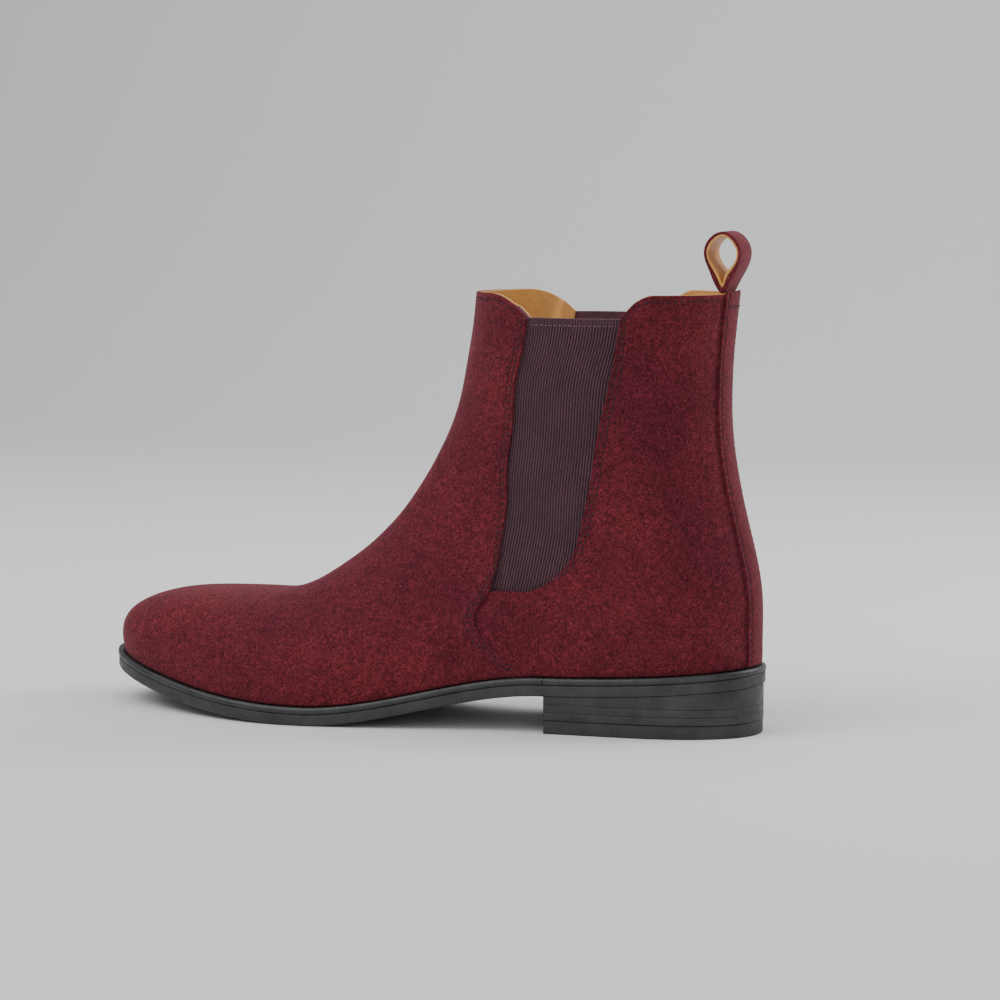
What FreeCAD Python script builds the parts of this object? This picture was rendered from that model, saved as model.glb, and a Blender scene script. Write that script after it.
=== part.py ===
import FreeCAD, Part
import bisect
import math
import os

# A chelsea boot for the left foot. The toe points along +X, the outer (lateral) side
# is +Y, up is +Z. The origin is on the ground under the middle of the boot's box.
# Lengths are in millimetres. "Back" distances are measured from the rearmost edge
# of the sole, so the model's own x is a back distance less half the boot's length.

Vector = FreeCAD.Vector
LATERAL = 1
MEDIAL = -1

doc = FreeCAD.newDocument("chelsea_boot")
sheet = doc.addObject("Spreadsheet::Sheet", "sizes")
SIZES = (
    ("boot_length", 303.0),
    ("ball_width", 105.0),
    ("heel_width", 67.0),
    ("boot_height", 187.0),
    ("shaft_depth", 114.0),
    ("shaft_width", 75.0),
    ("heel_length", 88.0),
    ("heel_height", 16.2),
    ("seat_rise", 5.3),
    ("toe_spring", 16.0),
    ("outsole_thickness", 5.0),
    ("welt_thickness", 3.0),
    ("welt_width", 12.0),
    ("welt_margin", 3.0),
    ("heel_inset", 1.0),
    ("top_piece_thickness", 6.0),
    ("lift_thickness", 3.4),
    ("breast_radius", 62.0),
    ("breast_hollow", 5.0),
    ("pin_diameter", 2.0),
    ("nail_diameter", 2.4),
    ("shank_length", 112.0),
    ("shank_width", 14.0),
    ("shank_thickness", 1.4),
    ("insole_thickness", 3.0),
    ("sock_thickness", 1.1),
    ("suede_thickness", 1.4),
    ("backing_thickness", 1.2),
    ("lining_thickness", 1.0),
    ("grip_thickness", 0.8),
    ("layer_gap", 0.3),
    ("gore_dip", 10.0),
    ("gore_tuck", 7.0),
    ("strip_width", 20.0),
    ("strip_thickness", 1.2),
    ("loop_width", 18.6),
    ("loop_height", 23.4),
    ("loop_depth", 19.0),
    ("strap_thickness", 1.2),
    ("joint_gap", 1.0),
)
for row, (alias, value) in enumerate(SIZES, start=1):
    sheet.set(f"A{row}", alias)
    sheet.set(f"B{row}", str(value))
    sheet.setAlias(f"B{row}", alias)
doc.recompute()


def size(alias):
    return float(sheet.get(alias))


LENGTH = size("boot_length")
HEIGHT = size("boot_height")
BREAST = size("heel_length")
FEATHER_LIFT = size("outsole_thickness") + size("welt_thickness")
MARGIN = size("welt_margin")
GAP = size("layer_gap")
# The profile's stations below were drawn for a boot of these sizes, and scale from them.
DRAWN_LENGTH = 303.0
DRAWN_HEIGHT = 187.0
DRAWN_SHAFT_DEPTH = 114.0
DRAWN_BALL_WIDTH = 105.0
DRAWN_SHAFT_WIDTH = 75.0
ALONG = LENGTH / DRAWN_LENGTH
UPWARD = HEIGHT / DRAWN_HEIGHT
SIDEWAYS = size("ball_width") / DRAWN_BALL_WIDTH
SHAFT_SIDEWAYS = size("shaft_width") / DRAWN_SHAFT_WIDTH


class Smooth:
    """A natural cubic spline through (position, value) stations."""

    def __init__(self, stations):
        self.at = [float(p) for p, _ in stations]
        self.value = [float(v) for _, v in stations]
        count = len(self.at)
        upper = [0.0] * count
        right = [0.0] * count
        for k in range(1, count - 1):
            before = self.at[k] - self.at[k - 1]
            after = self.at[k + 1] - self.at[k]
            slope_change = (self.value[k + 1] - self.value[k]) / after
            slope_change -= (self.value[k] - self.value[k - 1]) / before
            pivot = 2.0 * (before + after) - before * upper[k - 1]
            upper[k] = after / pivot
            right[k] = (6.0 * slope_change - before * right[k - 1]) / pivot
        self.bend = [0.0] * count
        for k in range(count - 2, 0, -1):
            self.bend[k] = right[k] - upper[k] * self.bend[k + 1]

    def __call__(self, position):
        k = min(max(bisect.bisect_right(self.at, position), 1), len(self.at) - 1)
        span = self.at[k] - self.at[k - 1]
        a = (self.at[k] - position) / span
        b = 1.0 - a
        curve = (a**3 - a) * self.bend[k - 1] + (b**3 - b) * self.bend[k]
        return a * self.value[k - 1] + b * self.value[k] + curve * span**2 / 6.0


def point(back, side, up):
    """The model's point at a back distance, a sideways distance and a height."""
    return Vector(back - LENGTH / 2.0, side, up)


# ---------------------------------------------------------------- the sole's two curves

BALL = 0.64 * LENGTH
HEEL_HEIGHT = size("heel_height")
SEAT_RISE = size("seat_rise")
TOE_SPRING = size("toe_spring")


def sole_bottom(back):
    """Height of the outsole's underside: raised on the heel, arched at the waist, down
    on the ground at the ball and rising again under the toe."""
    if back < BREAST:
        return HEEL_HEIGHT + SEAT_RISE * (1.0 - back / BREAST) ** 1.5
    if back < BALL:
        share = (back - BREAST) / (BALL - BREAST)
        return HEEL_HEIGHT * (1.0 - share * share * (3.0 - 2.0 * share))
    return TOE_SPRING * ((back - BALL) / (LENGTH - BALL)) ** 2


def feather(back):
    """Height of the welt's top, on which the upper stands."""
    return sole_bottom(back) + FEATHER_LIFT


# Half widths of the sole's outline: share of the length, and share of half the heel's
# width for the rear rows and of half the ball's width for the front ones.
HEEL_ROWS = ((0.0, 0.0), (0.02, 0.47), (0.06, 0.74), (0.12, 0.92), (0.2, 1.0))
BALL_ROWS = {
    LATERAL: (
        (0.3, 0.67), (0.4, 0.73), (0.5, 0.845), (0.6, 0.96), (0.67, 1.0),
        (0.75, 0.95), (0.85, 0.765), (0.93, 0.54), (0.98, 0.3), (1.0, 0.0),
    ),
    MEDIAL: (
        (0.3, 0.575), (0.4, 0.57), (0.5, 0.66), (0.6, 0.81), (0.68, 0.945),
        (0.735, 1.0), (0.8, 0.97), (0.87, 0.82), (0.94, 0.56), (0.98, 0.33), (1.0, 0.0),
    ),
}


def outline_curve(side):
    """Half width over the turn, the angle whose cosine runs evenly from heel to toe."""
    rows = [(share, width * size("heel_width") / 2.0) for share, width in HEEL_ROWS]
    rows += [(share, width * size("ball_width") / 2.0) for share, width in BALL_ROWS[side]]
    curve = Smooth([(math.acos(1.0 - 2.0 * share), width) for share, width in rows])
    widest = max(curve(math.pi * k / 720.0) for k in range(721))
    trim = size("ball_width") / 2.0 / widest
    return Smooth([(a, v * (trim if a > math.pi / 2.0 else 1.0)) for a, v in zip(curve.at, curve.value)])


OUTLINE = {side: outline_curve(side) for side in (LATERAL, MEDIAL)}


def outline(turn, side, inset):
    """Back distance and half width of the sole's edge, moved inwards by an inset."""
    step = 1e-3
    back = LENGTH * (1.0 - math.cos(turn)) / 2.0
    half = OUTLINE[side](turn)
    ahead = LENGTH * math.sin(turn) / 2.0
    slope = (OUTLINE[side](min(turn + step, math.pi)) - OUTLINE[side](max(turn - step, 0.0)))
    slope /= min(turn + step, math.pi) - max(turn - step, 0.0)
    norm = math.hypot(ahead, slope)
    return back + inset * slope / norm, half - inset * ahead / norm


# ---------------------------------------------------------------- the upper's surface

# Each section of the upper is a cubic curve from the front ridge, over the side, down to
# the feather line, or on the shaft round to the back ridge. A row holds the ridge's back
# distance and height, the foot's back distance (its height on the back ridge once past
# the heel), how far the curve leaves the ridge sideways, and how far its last control
# point stands out from the foot and above it.
SECTIONS = (
    (300.0, 24.5, 300.0, 0.0, 0.0, 0.0),
    (301.0, 31.0, 298.8, 4.5, 2.0, 4.0),
    (299.0, 37.5, 295.0, 10.0, 3.0, 9.0),
    (293.5, 43.0, 287.0, 16.0, 3.5, 14.0),
    (284.0, 47.5, 274.0, 22.0, 2.5, 18.0),
    (270.0, 51.0, 257.0, 28.0, 2.0, 22.0),
    (252.0, 52.5, 237.0, 32.0, 1.5, 25.0),
    (232.0, 52.8, 214.0, 32.0, 1.0, 27.0),
    (213.0, 54.5, 190.0, 29.0, 1.0, 28.0),
    (197.0, 62.5, 165.0, 25.0, 0.0, 31.0),
    (184.0, 71.5, 140.0, 22.0, 1.0, 34.0),
    (173.0, 81.0, 114.0, 21.0, 2.5, 36.0),
    (164.0, 91.0, 86.0, 22.0, 4.5, 38.0),
    (156.0, 102.0, 57.0, 24.0, 8.0, 38.0),
    (149.0, 113.5, 27.0, 27.0, 14.0, 34.0),
    (143.0, 125.0, 0.0, 34.0, 46.0, 26.0),
    (137.5, 139.0, 62.0, 38.0, 44.0, 11.0),
    (134.0, 154.0, 100.0, 41.0, 43.5, 3.0),
    (131.0, 170.0, 143.0, 45.0, 47.0, 0.0),
    (128.5, 187.0, 187.0, 50.0, 50.0, 0.0),
)
HEEL_ROW = 15
LAST_ROW = len(SECTIONS) - 1
BACK_RIDGE = (
    (27.0, 3.0), (45.0, 3.0), (62.0, 3.6), (80.0, 7.3),
    (100.0, 12.2), (125.0, 16.6), (150.0, 17.3), (187.0, 14.3),
)
BACK_CURVE = Smooth([(up * UPWARD, back * ALONG) for up, back in BACK_RIDGE])


def shaft_share(row):
    """How far a section is up the shaft: 0 on the foot, 1 at the topline."""
    return max(0.0, (row - 12) / (LAST_ROW - 12))


def shaft_shift(row):
    return shaft_share(row) * (size("shaft_depth") - DRAWN_SHAFT_DEPTH * ALONG)


def reach_scale(row):
    return SIDEWAYS + shaft_share(row) * (SHAFT_SIDEWAYS - SIDEWAYS)


def turn_at(back):
    """The outline's turn whose inset foot lies at a back distance."""
    inner = (back * ALONG - MARGIN) / (LENGTH - 2.0 * MARGIN)
    return math.acos(1.0 - 2.0 * min(max(inner, 0.0), 1.0))


rows = list(enumerate(SECTIONS))
RIDGE_BACK = Smooth([(k, row[0] * ALONG + shaft_shift(k)) for k, row in rows])
RIDGE_UP = Smooth([(k, row[1] * UPWARD) for k, row in rows])
RIDGE_REACH = Smooth([(k, row[3] * reach_scale(k)) for k, row in rows])
FOOT_TURN = Smooth([(k, turn_at(row[2])) for k, row in rows[: HEEL_ROW + 1]])
FOOT_RISE = Smooth(
    [(HEEL_ROW, feather(MARGIN))] + [(k, row[2] * UPWARD) for k, row in rows[HEEL_ROW + 1 :]]
)


def foot(row, side):
    """The lower end of a section: on the feather line, or on the back ridge."""
    if row <= HEEL_ROW:
        back, half = outline(min(max(FOOT_TURN(row), 0.0), math.pi), side, MARGIN)
        return back, max(half, 0.0), feather(back) + GAP
    up = FOOT_RISE(row)
    return BACK_CURVE(up), 0.0, up + GAP


def hold_curves(side):
    """Back distance, half width and height of the sections' last control points."""
    stations = ([], [], [])
    for k, row in rows:
        foot_back, foot_half, foot_up = foot(k, side)
        stations[0].append((k, foot_back))
        stations[1].append((k, foot_half + row[4] * reach_scale(k)))
        stations[2].append((k, foot_up + row[5] * UPWARD))
    return [Smooth(line) for line in stations]


HOLD = {side: hold_curves(side) for side in (LATERAL, MEDIAL)}


def skin(row, down, side):
    """The upper's outer surface: row runs from the toe to the topline, down from the
    ridge (0) to the foot of the section (1)."""
    foot_back, foot_half, foot_up = foot(row, side)
    hold_back, hold_half, hold_up = (curve(row) for curve in HOLD[side])
    ridge_back = RIDGE_BACK(row)
    ridge_up = RIDGE_UP(row)
    a = (1.0 - down) ** 3
    b = 3.0 * (1.0 - down) ** 2 * down
    c = 3.0 * (1.0 - down) * down**2
    d = down**3
    back = (a + b) * ridge_back + c * hold_back + d * foot_back
    half = b * RIDGE_REACH(row) + c * hold_half + d * foot_half
    up = (a + b) * ridge_up + c * hold_up + d * foot_up
    return back, half, up


def buried(row, down, side, depth):
    """A point of the upper at a depth under its outer surface."""
    step = 2e-3
    row_low, row_high = max(row - step, 0.0), min(row + step, LAST_ROW)
    down_low, down_high = max(down - step, 0.0), min(down + step, 1.0)
    along = [q - p for p, q in zip(skin(row_low, down, side), skin(row_high, down, side))]
    across = [q - p for p, q in zip(skin(row, down_low, side), skin(row, down_high, side))]
    normal = Vector(*across).cross(Vector(*along))
    normal.normalize()
    back, half, up = skin(row, down, side)
    return point(back - normal.x * depth, side * (half - normal.y * depth), up - normal.z * depth)


COARSE = [(row / 2.0, down / 12.0) for row in range(2, 2 * LAST_ROW + 1) for down in range(1, 13)]
COARSE_SKIN = {side: [skin(row, down, side) for row, down in COARSE] for side in (LATERAL, MEDIAL)}


def locate(side, miss):
    """The section row and the place down it where both of the misses are nil."""
    samples = COARSE_SKIN[side]
    nearest = min(range(len(COARSE)), key=lambda k: sum(e * e for e in miss(samples[k])))
    row, down = COARSE[nearest]
    step = 1e-4
    for _ in range(25):
        error = miss(skin(row, down, side))
        if abs(error[0]) + abs(error[1]) < 1e-6:
            break
        side_step = -step if row + step > LAST_ROW else step
        down_step = -step if down + step > 1.0 else step
        by_row = [(q - p) / side_step for p, q in zip(error, miss(skin(row + side_step, down, side)))]
        by_down = [(q - p) / down_step for p, q in zip(error, miss(skin(row, down + down_step, side)))]
        scale = by_row[0] * by_down[1] - by_row[1] * by_down[0]
        if abs(scale) < 1e-9:
            break
        move_row = (error[0] * by_down[1] - error[1] * by_down[0]) / scale
        move_down = (by_row[0] * error[1] - by_row[1] * error[0]) / scale
        limit = max(abs(move_row) / 1.0, abs(move_down) / 0.15, 1.0)
        row = min(max(row - move_row / limit, 0.05), LAST_ROW)
        down = min(max(down - move_down / limit, 0.0), 1.0)
    return row, down


def seen_from_side(side, back, up):
    """Row and down of the skin's point seen at a back distance and height."""
    return locate(side, lambda p: (p[0] - back * ALONG, p[2] - up * UPWARD))


# Round the shaft a place is an azimuth about the shaft's axis, 0 at the front ridge, 180
# at the back, positive on the lateral side, and a level, 0 at the feather, 1 at the top.
AXIS_BACK = 62.0 * ALONG
GORE_FRONT_TOP = 96.0
GORE_REAR_TOP = 54.0


def topline(back):
    """Height of the top edge: level, with a dip over the gore that rounds at both ends."""
    ahead = (back / ALONG - GORE_FRONT_TOP) / 20.0
    behind = (GORE_REAR_TOP - back / ALONG) / 14.0
    clear = min(max(ahead, behind, 0.0), 1.0)
    return HEIGHT - size("gore_dip") * (1.0 - clear) ** 2


def shaft_place(azimuth, level):
    """Row, down and side of the skin at an azimuth and a level of the shaft."""
    turned = azimuth % 360.0
    side = LATERAL if turned <= 180.0 else MEDIAL
    angle = math.radians(turned if side == LATERAL else 360.0 - turned)
    sine, cosine = math.sin(angle), math.cos(angle)

    def miss(p):
        ahead = p[0] - AXIS_BACK
        aside = ahead * sine - p[1] * cosine
        if ahead * cosine + p[1] * sine < 0.0:
            aside += 400.0
        wanted = feather(p[0]) * (1.0 - level) + topline(p[0]) * level
        return aside, p[2] - wanted - GAP * (1.0 - level)

    row, down = locate(side, miss)
    return row, down, side


def azimuth_and_level(side, back, up):
    """The shaft place of the skin's point seen from the side at (back, up)."""
    row, down = seen_from_side(side, back, up)
    p = skin(row, down, side)
    azimuth = math.degrees(math.atan2(p[1], p[0] - AXIS_BACK))
    level = (p[2] - feather(p[0])) / (topline(p[0]) - feather(p[0]))
    return azimuth * side, min(max(level, 0.0), 1.0)


# ---------------------------------------------------------------- solids and objects

NODES = []


def feature(label, shape):
    """A document object that holds a shape made by Part's own functions."""
    made = doc.addObject("Part::Feature", label)
    made.Label = label
    made.Shape = shape
    made.Placement = FreeCAD.Placement()
    return made


def node(made):
    NODES.append(made)
    return made


def sharpened(line):
    """Control points of a cubic spline that passes close to a line of points."""
    made = [line[0]]
    for before, here, after in zip(line, line[1:], line[2:]):
        made.append(here + (here * 2.0 - before - after) * (1.0 / 6.0))
    return made + [line[-1]]


def smooth_surface(grid):
    """A cubic surface close to every point of a grid, on its edges along all four sides."""
    by_row = [sharpened(line) for line in grid]
    columns = [sharpened(list(line)) for line in zip(*by_row)]
    poles = [list(line) for line in zip(*columns)]
    counts = (len(poles) - 3, len(poles[0]) - 3)
    knots = [[float(k) for k in range(count + 1)] for count in counts]
    mults = [[4] + [1] * (count - 1) + [4] for count in counts]
    surface = Part.BSplineSurface()
    surface.buildFromPolesMultsKnots(
        poles, mults[0], mults[1], knots[0], knots[1], False, False, 3, 3
    )
    return surface


def border(surface, edge):
    """The surface's border curve: 0 and 1 at the ends of its rows, 2 and 3 of its columns."""
    first_u, last_u, first_v, last_v = surface.bounds()
    if edge < 2:
        return surface.uIso(last_u if edge else first_u)
    return surface.vIso(last_v if edge == 3 else first_v)


def patch_solid(outer, inner):
    """A closed solid between two grids of points, with ruled walls on its four edges."""
    skins = [smooth_surface(outer), smooth_surface(inner)]
    faces = [surface.toShape() for surface in skins]
    for edge in range(4):
        rails = [border(surface, edge).toShape() for surface in skins]
        faces.append(Part.makeRuledSurface(rails[0], rails[1]))
    shell = Part.makeShell(faces)
    shell.sewShape()
    solid = Part.makeSolid(shell)
    if solid.Volume < 0.0:
        solid.reverse()
    return solid


def layer(label, places, top, bottom, rows, columns):
    """A piece of the upper between two depths. places(i, j) gives row, down and side
    for i and j running from 0 to 1."""
    grids = []
    found = [[places(i / rows, j / columns) for j in range(columns + 1)] for i in range(rows + 1)]
    for depth in (top, bottom):
        grids.append([[buried(*place, depth) for place in line] for line in found])
    return node(feature(label, patch_solid(*grids)))


SUEDE = (0.0, size("suede_thickness"))
BACKING_TOP = size("suede_thickness") + GAP
BACKING = (BACKING_TOP, BACKING_TOP + size("backing_thickness"))
LINING_TOP = BACKING[1] + GAP
LINING = (LINING_TOP, LINING_TOP + size("lining_thickness"))
GRIP_TOP = LINING[1] + GAP
GRIP = (GRIP_TOP, GRIP_TOP + size("grip_thickness"))

# ---------------------------------------------------------------- sole and heel

WIDE = size("ball_width")


def outline_face(inset):
    """The sole's plan, moved inwards by an inset, as a face on the ground."""
    turns = [math.pi * (k + 0.5) / 40.0 for k in range(40)]
    edge = [point(*outline(turn, LATERAL, inset), 0.0) for turn in turns]
    far = [outline(turn, MEDIAL, inset) for turn in reversed(turns)]
    edge += [point(back, -half, 0.0) for back, half in far]
    curve = Part.BSplineCurve()
    curve.interpolate(Points=edge, PeriodicFlag=True)
    return Part.Face(Part.Wire(curve.toShape()))


def band_face(low, high):
    """The sole's side profile between two lifts over its underside."""
    spots = [-12.0 + (LENGTH + 24.0) * k / 48.0 for k in range(49)]
    edges = []
    for lift in (low, high):
        curve = Part.BSplineCurve()
        curve.interpolate([point(s, -WIDE, sole_bottom(min(max(s, 0.0), LENGTH)) + lift) for s in spots])
        edges.append(curve)
    ends = []
    for k in (0, -1):
        s = spots[k]
        base = sole_bottom(min(max(s, 0.0), LENGTH))
        ends.append(Part.LineSegment(point(s, -WIDE, base + low), point(s, -WIDE, base + high)))
    wire = Part.Wire(Part.__sortEdges__([c.toShape() for c in edges + ends]))
    return Part.Face(wire)


def prism(label, face, direction, expression):
    made = doc.addObject("Part::Extrusion", label)
    made.Label = label
    made.Base = face
    made.DirMode = "Custom"
    made.Dir = direction
    made.Solid = True
    made.setExpression("LengthFwd", expression)
    return made


def both(kind, label, base, tool):
    made = doc.addObject(kind, label)
    made.Label = label
    made.Base = base
    made.Tool = tool
    return made


def plan_prism(label, inset):
    return prism(label + "_plan_prism", feature(label + "_plan", outline_face(inset)), Vector(0, 0, 1), "sizes.boot_height")


def slab(label, inset, low, high):
    """A curved plate with the sole's outline and its side profile."""
    band = prism(
        label + "_band_prism",
        feature(label + "_band", band_face(low, high)),
        Vector(0, 1, 0),
        "2 * sizes.ball_width",
    )
    return both("Part::Common", label, plan_prism(label, inset), band)


def box(label, corner, extent):
    """A box whose corner and extent are each three expressions of the sheet."""
    made = doc.addObject("Part::Box", label)
    made.Label = label
    for axis, text in zip(("x", "y", "z"), corner):
        made.setExpression("Placement.Base." + axis, text)
    for name, text in zip(("Length", "Width", "Height"), extent):
        made.setExpression(name, text)
    return made


BREAST_X = "(sizes.heel_length - sizes.boot_length / 2)"
behind_breast = box(
    "behind_breast",
    ("-sizes.boot_length", "-sizes.ball_width", "-sizes.boot_height"),
    ("sizes.boot_length / 2 + sizes.heel_length", "2 * sizes.ball_width", "2 * sizes.boot_height"),
)
ahead_of_breast = box(
    "ahead_of_breast",
    (BREAST_X + " + sizes.layer_gap", "-sizes.ball_width", "-sizes.boot_height"),
    ("2 * sizes.boot_length", "2 * sizes.ball_width", "2 * sizes.boot_height"),
)

# Clenched nails hold the heel to the insole, and brass pins hold the top piece. Both sit
# on rings about the heel's middle.
HEEL_MIDDLE = BREAST * 0.48


def rod_group(label, radius_expression, places, low, high):
    """Round rods between two heights, as one node of separate solids."""
    rods = []
    for k, (back, side) in enumerate(places):
        rod = doc.addObject("Part::Cylinder", f"{label}_{k + 1}")
        rod.Label = f"{label}_{k + 1}"
        rod.setExpression("Radius", radius_expression)
        rod.Height = high - low
        rod.Placement = FreeCAD.Placement(point(back, side, low), FreeCAD.Rotation())
        rods.append(rod)
    group = doc.addObject("Part::Compound", label)
    group.Label = label
    group.Links = rods
    return group


NAIL_RING = size("heel_width") * 0.25
PIN_RING = size("heel_width") * 0.36
nail_places = [
    (HEEL_MIDDLE + NAIL_RING * math.cos(a), NAIL_RING * math.sin(a))
    for a in (math.radians(36.0 + 72.0 * k) for k in range(5))
]
pin_places = [
    (HEEL_MIDDLE + PIN_RING * math.cos(a), PIN_RING * math.sin(a))
    for a in (math.radians(30.0 + 60.0 * k) for k in range(6))
]
TOP_PIECE = size("top_piece_thickness")
LIFT = size("lift_thickness")
NAIL_TOP = HEEL_HEIGHT + FEATHER_LIFT + size("insole_thickness") * 0.5
heel_nails = node(
    rod_group("heel_nails", "sizes.nail_diameter / 2", nail_places, TOP_PIECE + LIFT, NAIL_TOP)
)
top_piece_pins = node(
    rod_group("top_piece_pins", "sizes.pin_diameter / 2", pin_places, 0.8, TOP_PIECE + 1.5 * LIFT)
)


def drilled(label, blank, rods):
    """The blank with the rods' holes, as the node itself."""
    blank.Label = label + "_blank"
    return node(both("Part::Cut", label, blank, rods))


# The heel block: a rubber top piece, two level leather lifts and a wedge lift that follows
# the outsole. Its breast is hollowed by a large cylinder.
breast_cutter = doc.addObject("Part::Cylinder", "breast_cutter")
breast_cutter.setExpression("Radius", "sizes.breast_radius")
breast_cutter.setExpression("Height", "sizes.boot_height")
breast_cutter.setExpression(
    "Placement.Base.x", BREAST_X + " + sizes.breast_radius - sizes.breast_hollow"
)
heel_plan = plan_prism("heel", size("heel_inset"))
heel_rear = both("Part::Common", "heel_rear", heel_plan, behind_breast)
heel_column = both("Part::Cut", "heel_column", heel_rear, breast_cutter)
LIFTS = (
    ("top_piece", "0", "sizes.top_piece_thickness", "pins"),
    ("heel_lift_1", "sizes.top_piece_thickness", "sizes.lift_thickness", "both"),
    ("heel_lift_2", "sizes.top_piece_thickness + sizes.lift_thickness", "sizes.lift_thickness", "both"),
)
rods_of = {"pins": top_piece_pins}
all_rods = doc.addObject("Part::Compound", "heel_rods")
all_rods.Links = [heel_nails, top_piece_pins]
rods_of["both"] = all_rods
for label, start, thickness, rods in LIFTS:
    slice_box = box(
        label + "_slice",
        ("-sizes.boot_length", "-sizes.ball_width", start),
        ("2 * sizes.boot_length", "2 * sizes.ball_width", thickness),
    )
    blank = both("Part::Common", label + "_blank", heel_column, slice_box)
    drilled(label, blank, rods_of[rods])
wedge_box = box(
    "wedge_slice",
    ("-sizes.boot_length", "-sizes.ball_width", "sizes.top_piece_thickness + 2 * sizes.lift_thickness"),
    ("2 * sizes.boot_length", "2 * sizes.ball_width", "sizes.boot_height"),
)
below_sole = prism(
    "below_sole_prism",
    feature("below_sole_band", band_face(-HEEL_HEIGHT - SEAT_RISE, 0.0)),
    Vector(0, 1, 0),
    "2 * sizes.ball_width",
)
wedge_top = both("Part::Common", "wedge_top", heel_column, below_sole)
drilled("heel_lift_3", both("Part::Common", "heel_lift_3_blank", wedge_top, wedge_box), heel_nails)

OUTSOLE = size("outsole_thickness")
drilled("outsole", slab("outsole_slab", 0.0, 0.0, OUTSOLE), heel_nails)

# The welt runs round the forepart and waist, the rand closes the heel seat, and cork fills
# the space inside both, with a slot for the steel shank.
welt_ring = both(
    "Part::Cut",
    "welt_ring",
    slab("welt_slab", 0.0, OUTSOLE, FEATHER_LIFT),
    plan_prism("welt_inner", size("welt_width")),
)
node(both("Part::Common", "welt", welt_ring, ahead_of_breast))
node(both("Part::Common", "heel_rand", welt_ring, behind_breast))
filler_slab = slab("filler_slab", size("welt_width") + GAP, OUTSOLE, FEATHER_LIFT)
shank_span = (
    BREAST_X + " - sizes.shank_length * 0.4",
    "-sizes.shank_width / 2",
    "-sizes.boot_height",
)
shank_extent = ("sizes.shank_length", "sizes.shank_width", "3 * sizes.boot_height")
shank_band = slab("shank_band", size("welt_width") + GAP, OUTSOLE, OUTSOLE + size("shank_thickness"))
shank_blank = both("Part::Common", "shank_blank", shank_band, box("shank_plan", shank_span, shank_extent))
filler_cut = both("Part::Cut", "filler_cut", filler_slab, shank_blank)
drilled("cork_filler", filler_cut, heel_nails)
drilled("shank", shank_blank, heel_nails)

INSIDE = MARGIN + GRIP[1] + size("joint_gap")
INSOLE_LOW = FEATHER_LIFT + GAP
INSOLE_HIGH = INSOLE_LOW + size("insole_thickness")
drilled("insole", slab("insole_slab", INSIDE, INSOLE_LOW, INSOLE_HIGH), heel_nails)
node(slab("sock_liner", INSIDE + GAP, INSOLE_HIGH + GAP, INSOLE_HIGH + GAP + size("sock_thickness")))

# ---------------------------------------------------------------- the upper

# Seen from the side, the vamp ends at a seam that rises from the feather to the gore's
# front corner, where the front of the shaft hinges when the gore stretches.
HINGE = (114.0, 59.0)
SIDE_SEAM = ((97.0, 24.0), (106.0, 31.5), (115.0, 39.0), (119.0, 46.0), (117.5, 53.0))
BREAK_LOW = math.radians(34.0)
BREAK_HIGH = math.radians(53.0)
RIDGE_LOW = 12.0
TOE_ROW = 0.25


def vamp_end_curve(side):
    """Row of the vamp's rear edge over the place down the section."""
    stations = [(0.0, RIDGE_LOW)]
    for reach in (14.0, 28.0, 40.0):
        row, down = seen_from_side(side, HINGE[0] + reach, HINGE[1] + reach * math.tan(BREAK_LOW))
        stations.append((down, row))
    for back, up in (HINGE,) + SIDE_SEAM[:0:-1]:
        row, down = seen_from_side(side, back, up)
        stations.append((down, row))
    row_at_feather = min(
        (abs(skin(10.0 + k / 50.0, 1.0, side)[0] - SIDE_SEAM[0][0] * ALONG), 10.0 + k / 50.0)
        for k in range(150)
    )[1]
    stations.append((1.0, row_at_feather))
    return Smooth(sorted(stations))


VAMP_END = {side: vamp_end_curve(side) for side in (LATERAL, MEDIAL)}


def vamp_places(reach):
    """Places on the forepart, from the toe to a share of the way to the vamp's end."""

    def places(i, j):
        across = 2.0 * j - 1.0
        side = LATERAL if across >= 0.0 else MEDIAL
        down = abs(across)
        end = TOE_ROW + (VAMP_END[side](down) - TOE_ROW) * reach
        return TOE_ROW + (end - TOE_ROW) * i, down, side

    return places


layer("vamp", vamp_places(1.0), *SUEDE, 22, 20)
layer("toe_puff", vamp_places(0.36), *BACKING, 9, 16)
layer("vamp_lining", vamp_places(1.0), *LINING, 22, 20)


def edge_curves(side, stations):
    """Azimuth and level along an edge given by side-view points, each over 0 to 1."""
    found = [azimuth_and_level(side, back, up) for back, up in stations]
    last = len(found) - 1
    azimuths = Smooth([(k / last, side * place[0]) for k, place in enumerate(found)])
    levels = Smooth([(k / last, place[1]) for k, place in enumerate(found)])
    return azimuths, levels


GORE_FRONT = (
    (113.0, 62.0), (109.5, 87.0), (108.0, 104.0), (105.0, 130.0), (102.0, 153.0), (98.0, 166.0), (96.0, 177.0),
)
GORE_REAR = (
    (101.0, 60.0), (84.0, 67.0), (73.0, 87.0), (69.0, 104.0),
    (64.5, 130.0), (58.5, 153.0), (56.0, 166.0), (54.0, 177.0),
)
QUARTER_FRONT = ((97.0, 24.0), (106.0, 31.5), (115.0, 39.0), (119.0, 46.0), (115.0, 57.0)) + GORE_REAR
TUCK = size("gore_tuck")


def between(side, near, far):
    """Places between two edges of the shaft: i runs up, j from near to far."""
    near_azimuth, near_level = near
    far_azimuth, far_level = far

    def places(i, j):
        azimuth = near_azimuth(i) * (1.0 - j) + far_azimuth(i) * j
        level = near_level(i) * (1.0 - j) + far_level(i) * j
        return shaft_place(side * azimuth, min(max(level, 0.0), 1.0))

    return places


def moved(stations, by):
    return [(back + by, up) for back, up in stations]


def straight(low, high):
    return Smooth([(0.0, low), (1.0, high)])


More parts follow.
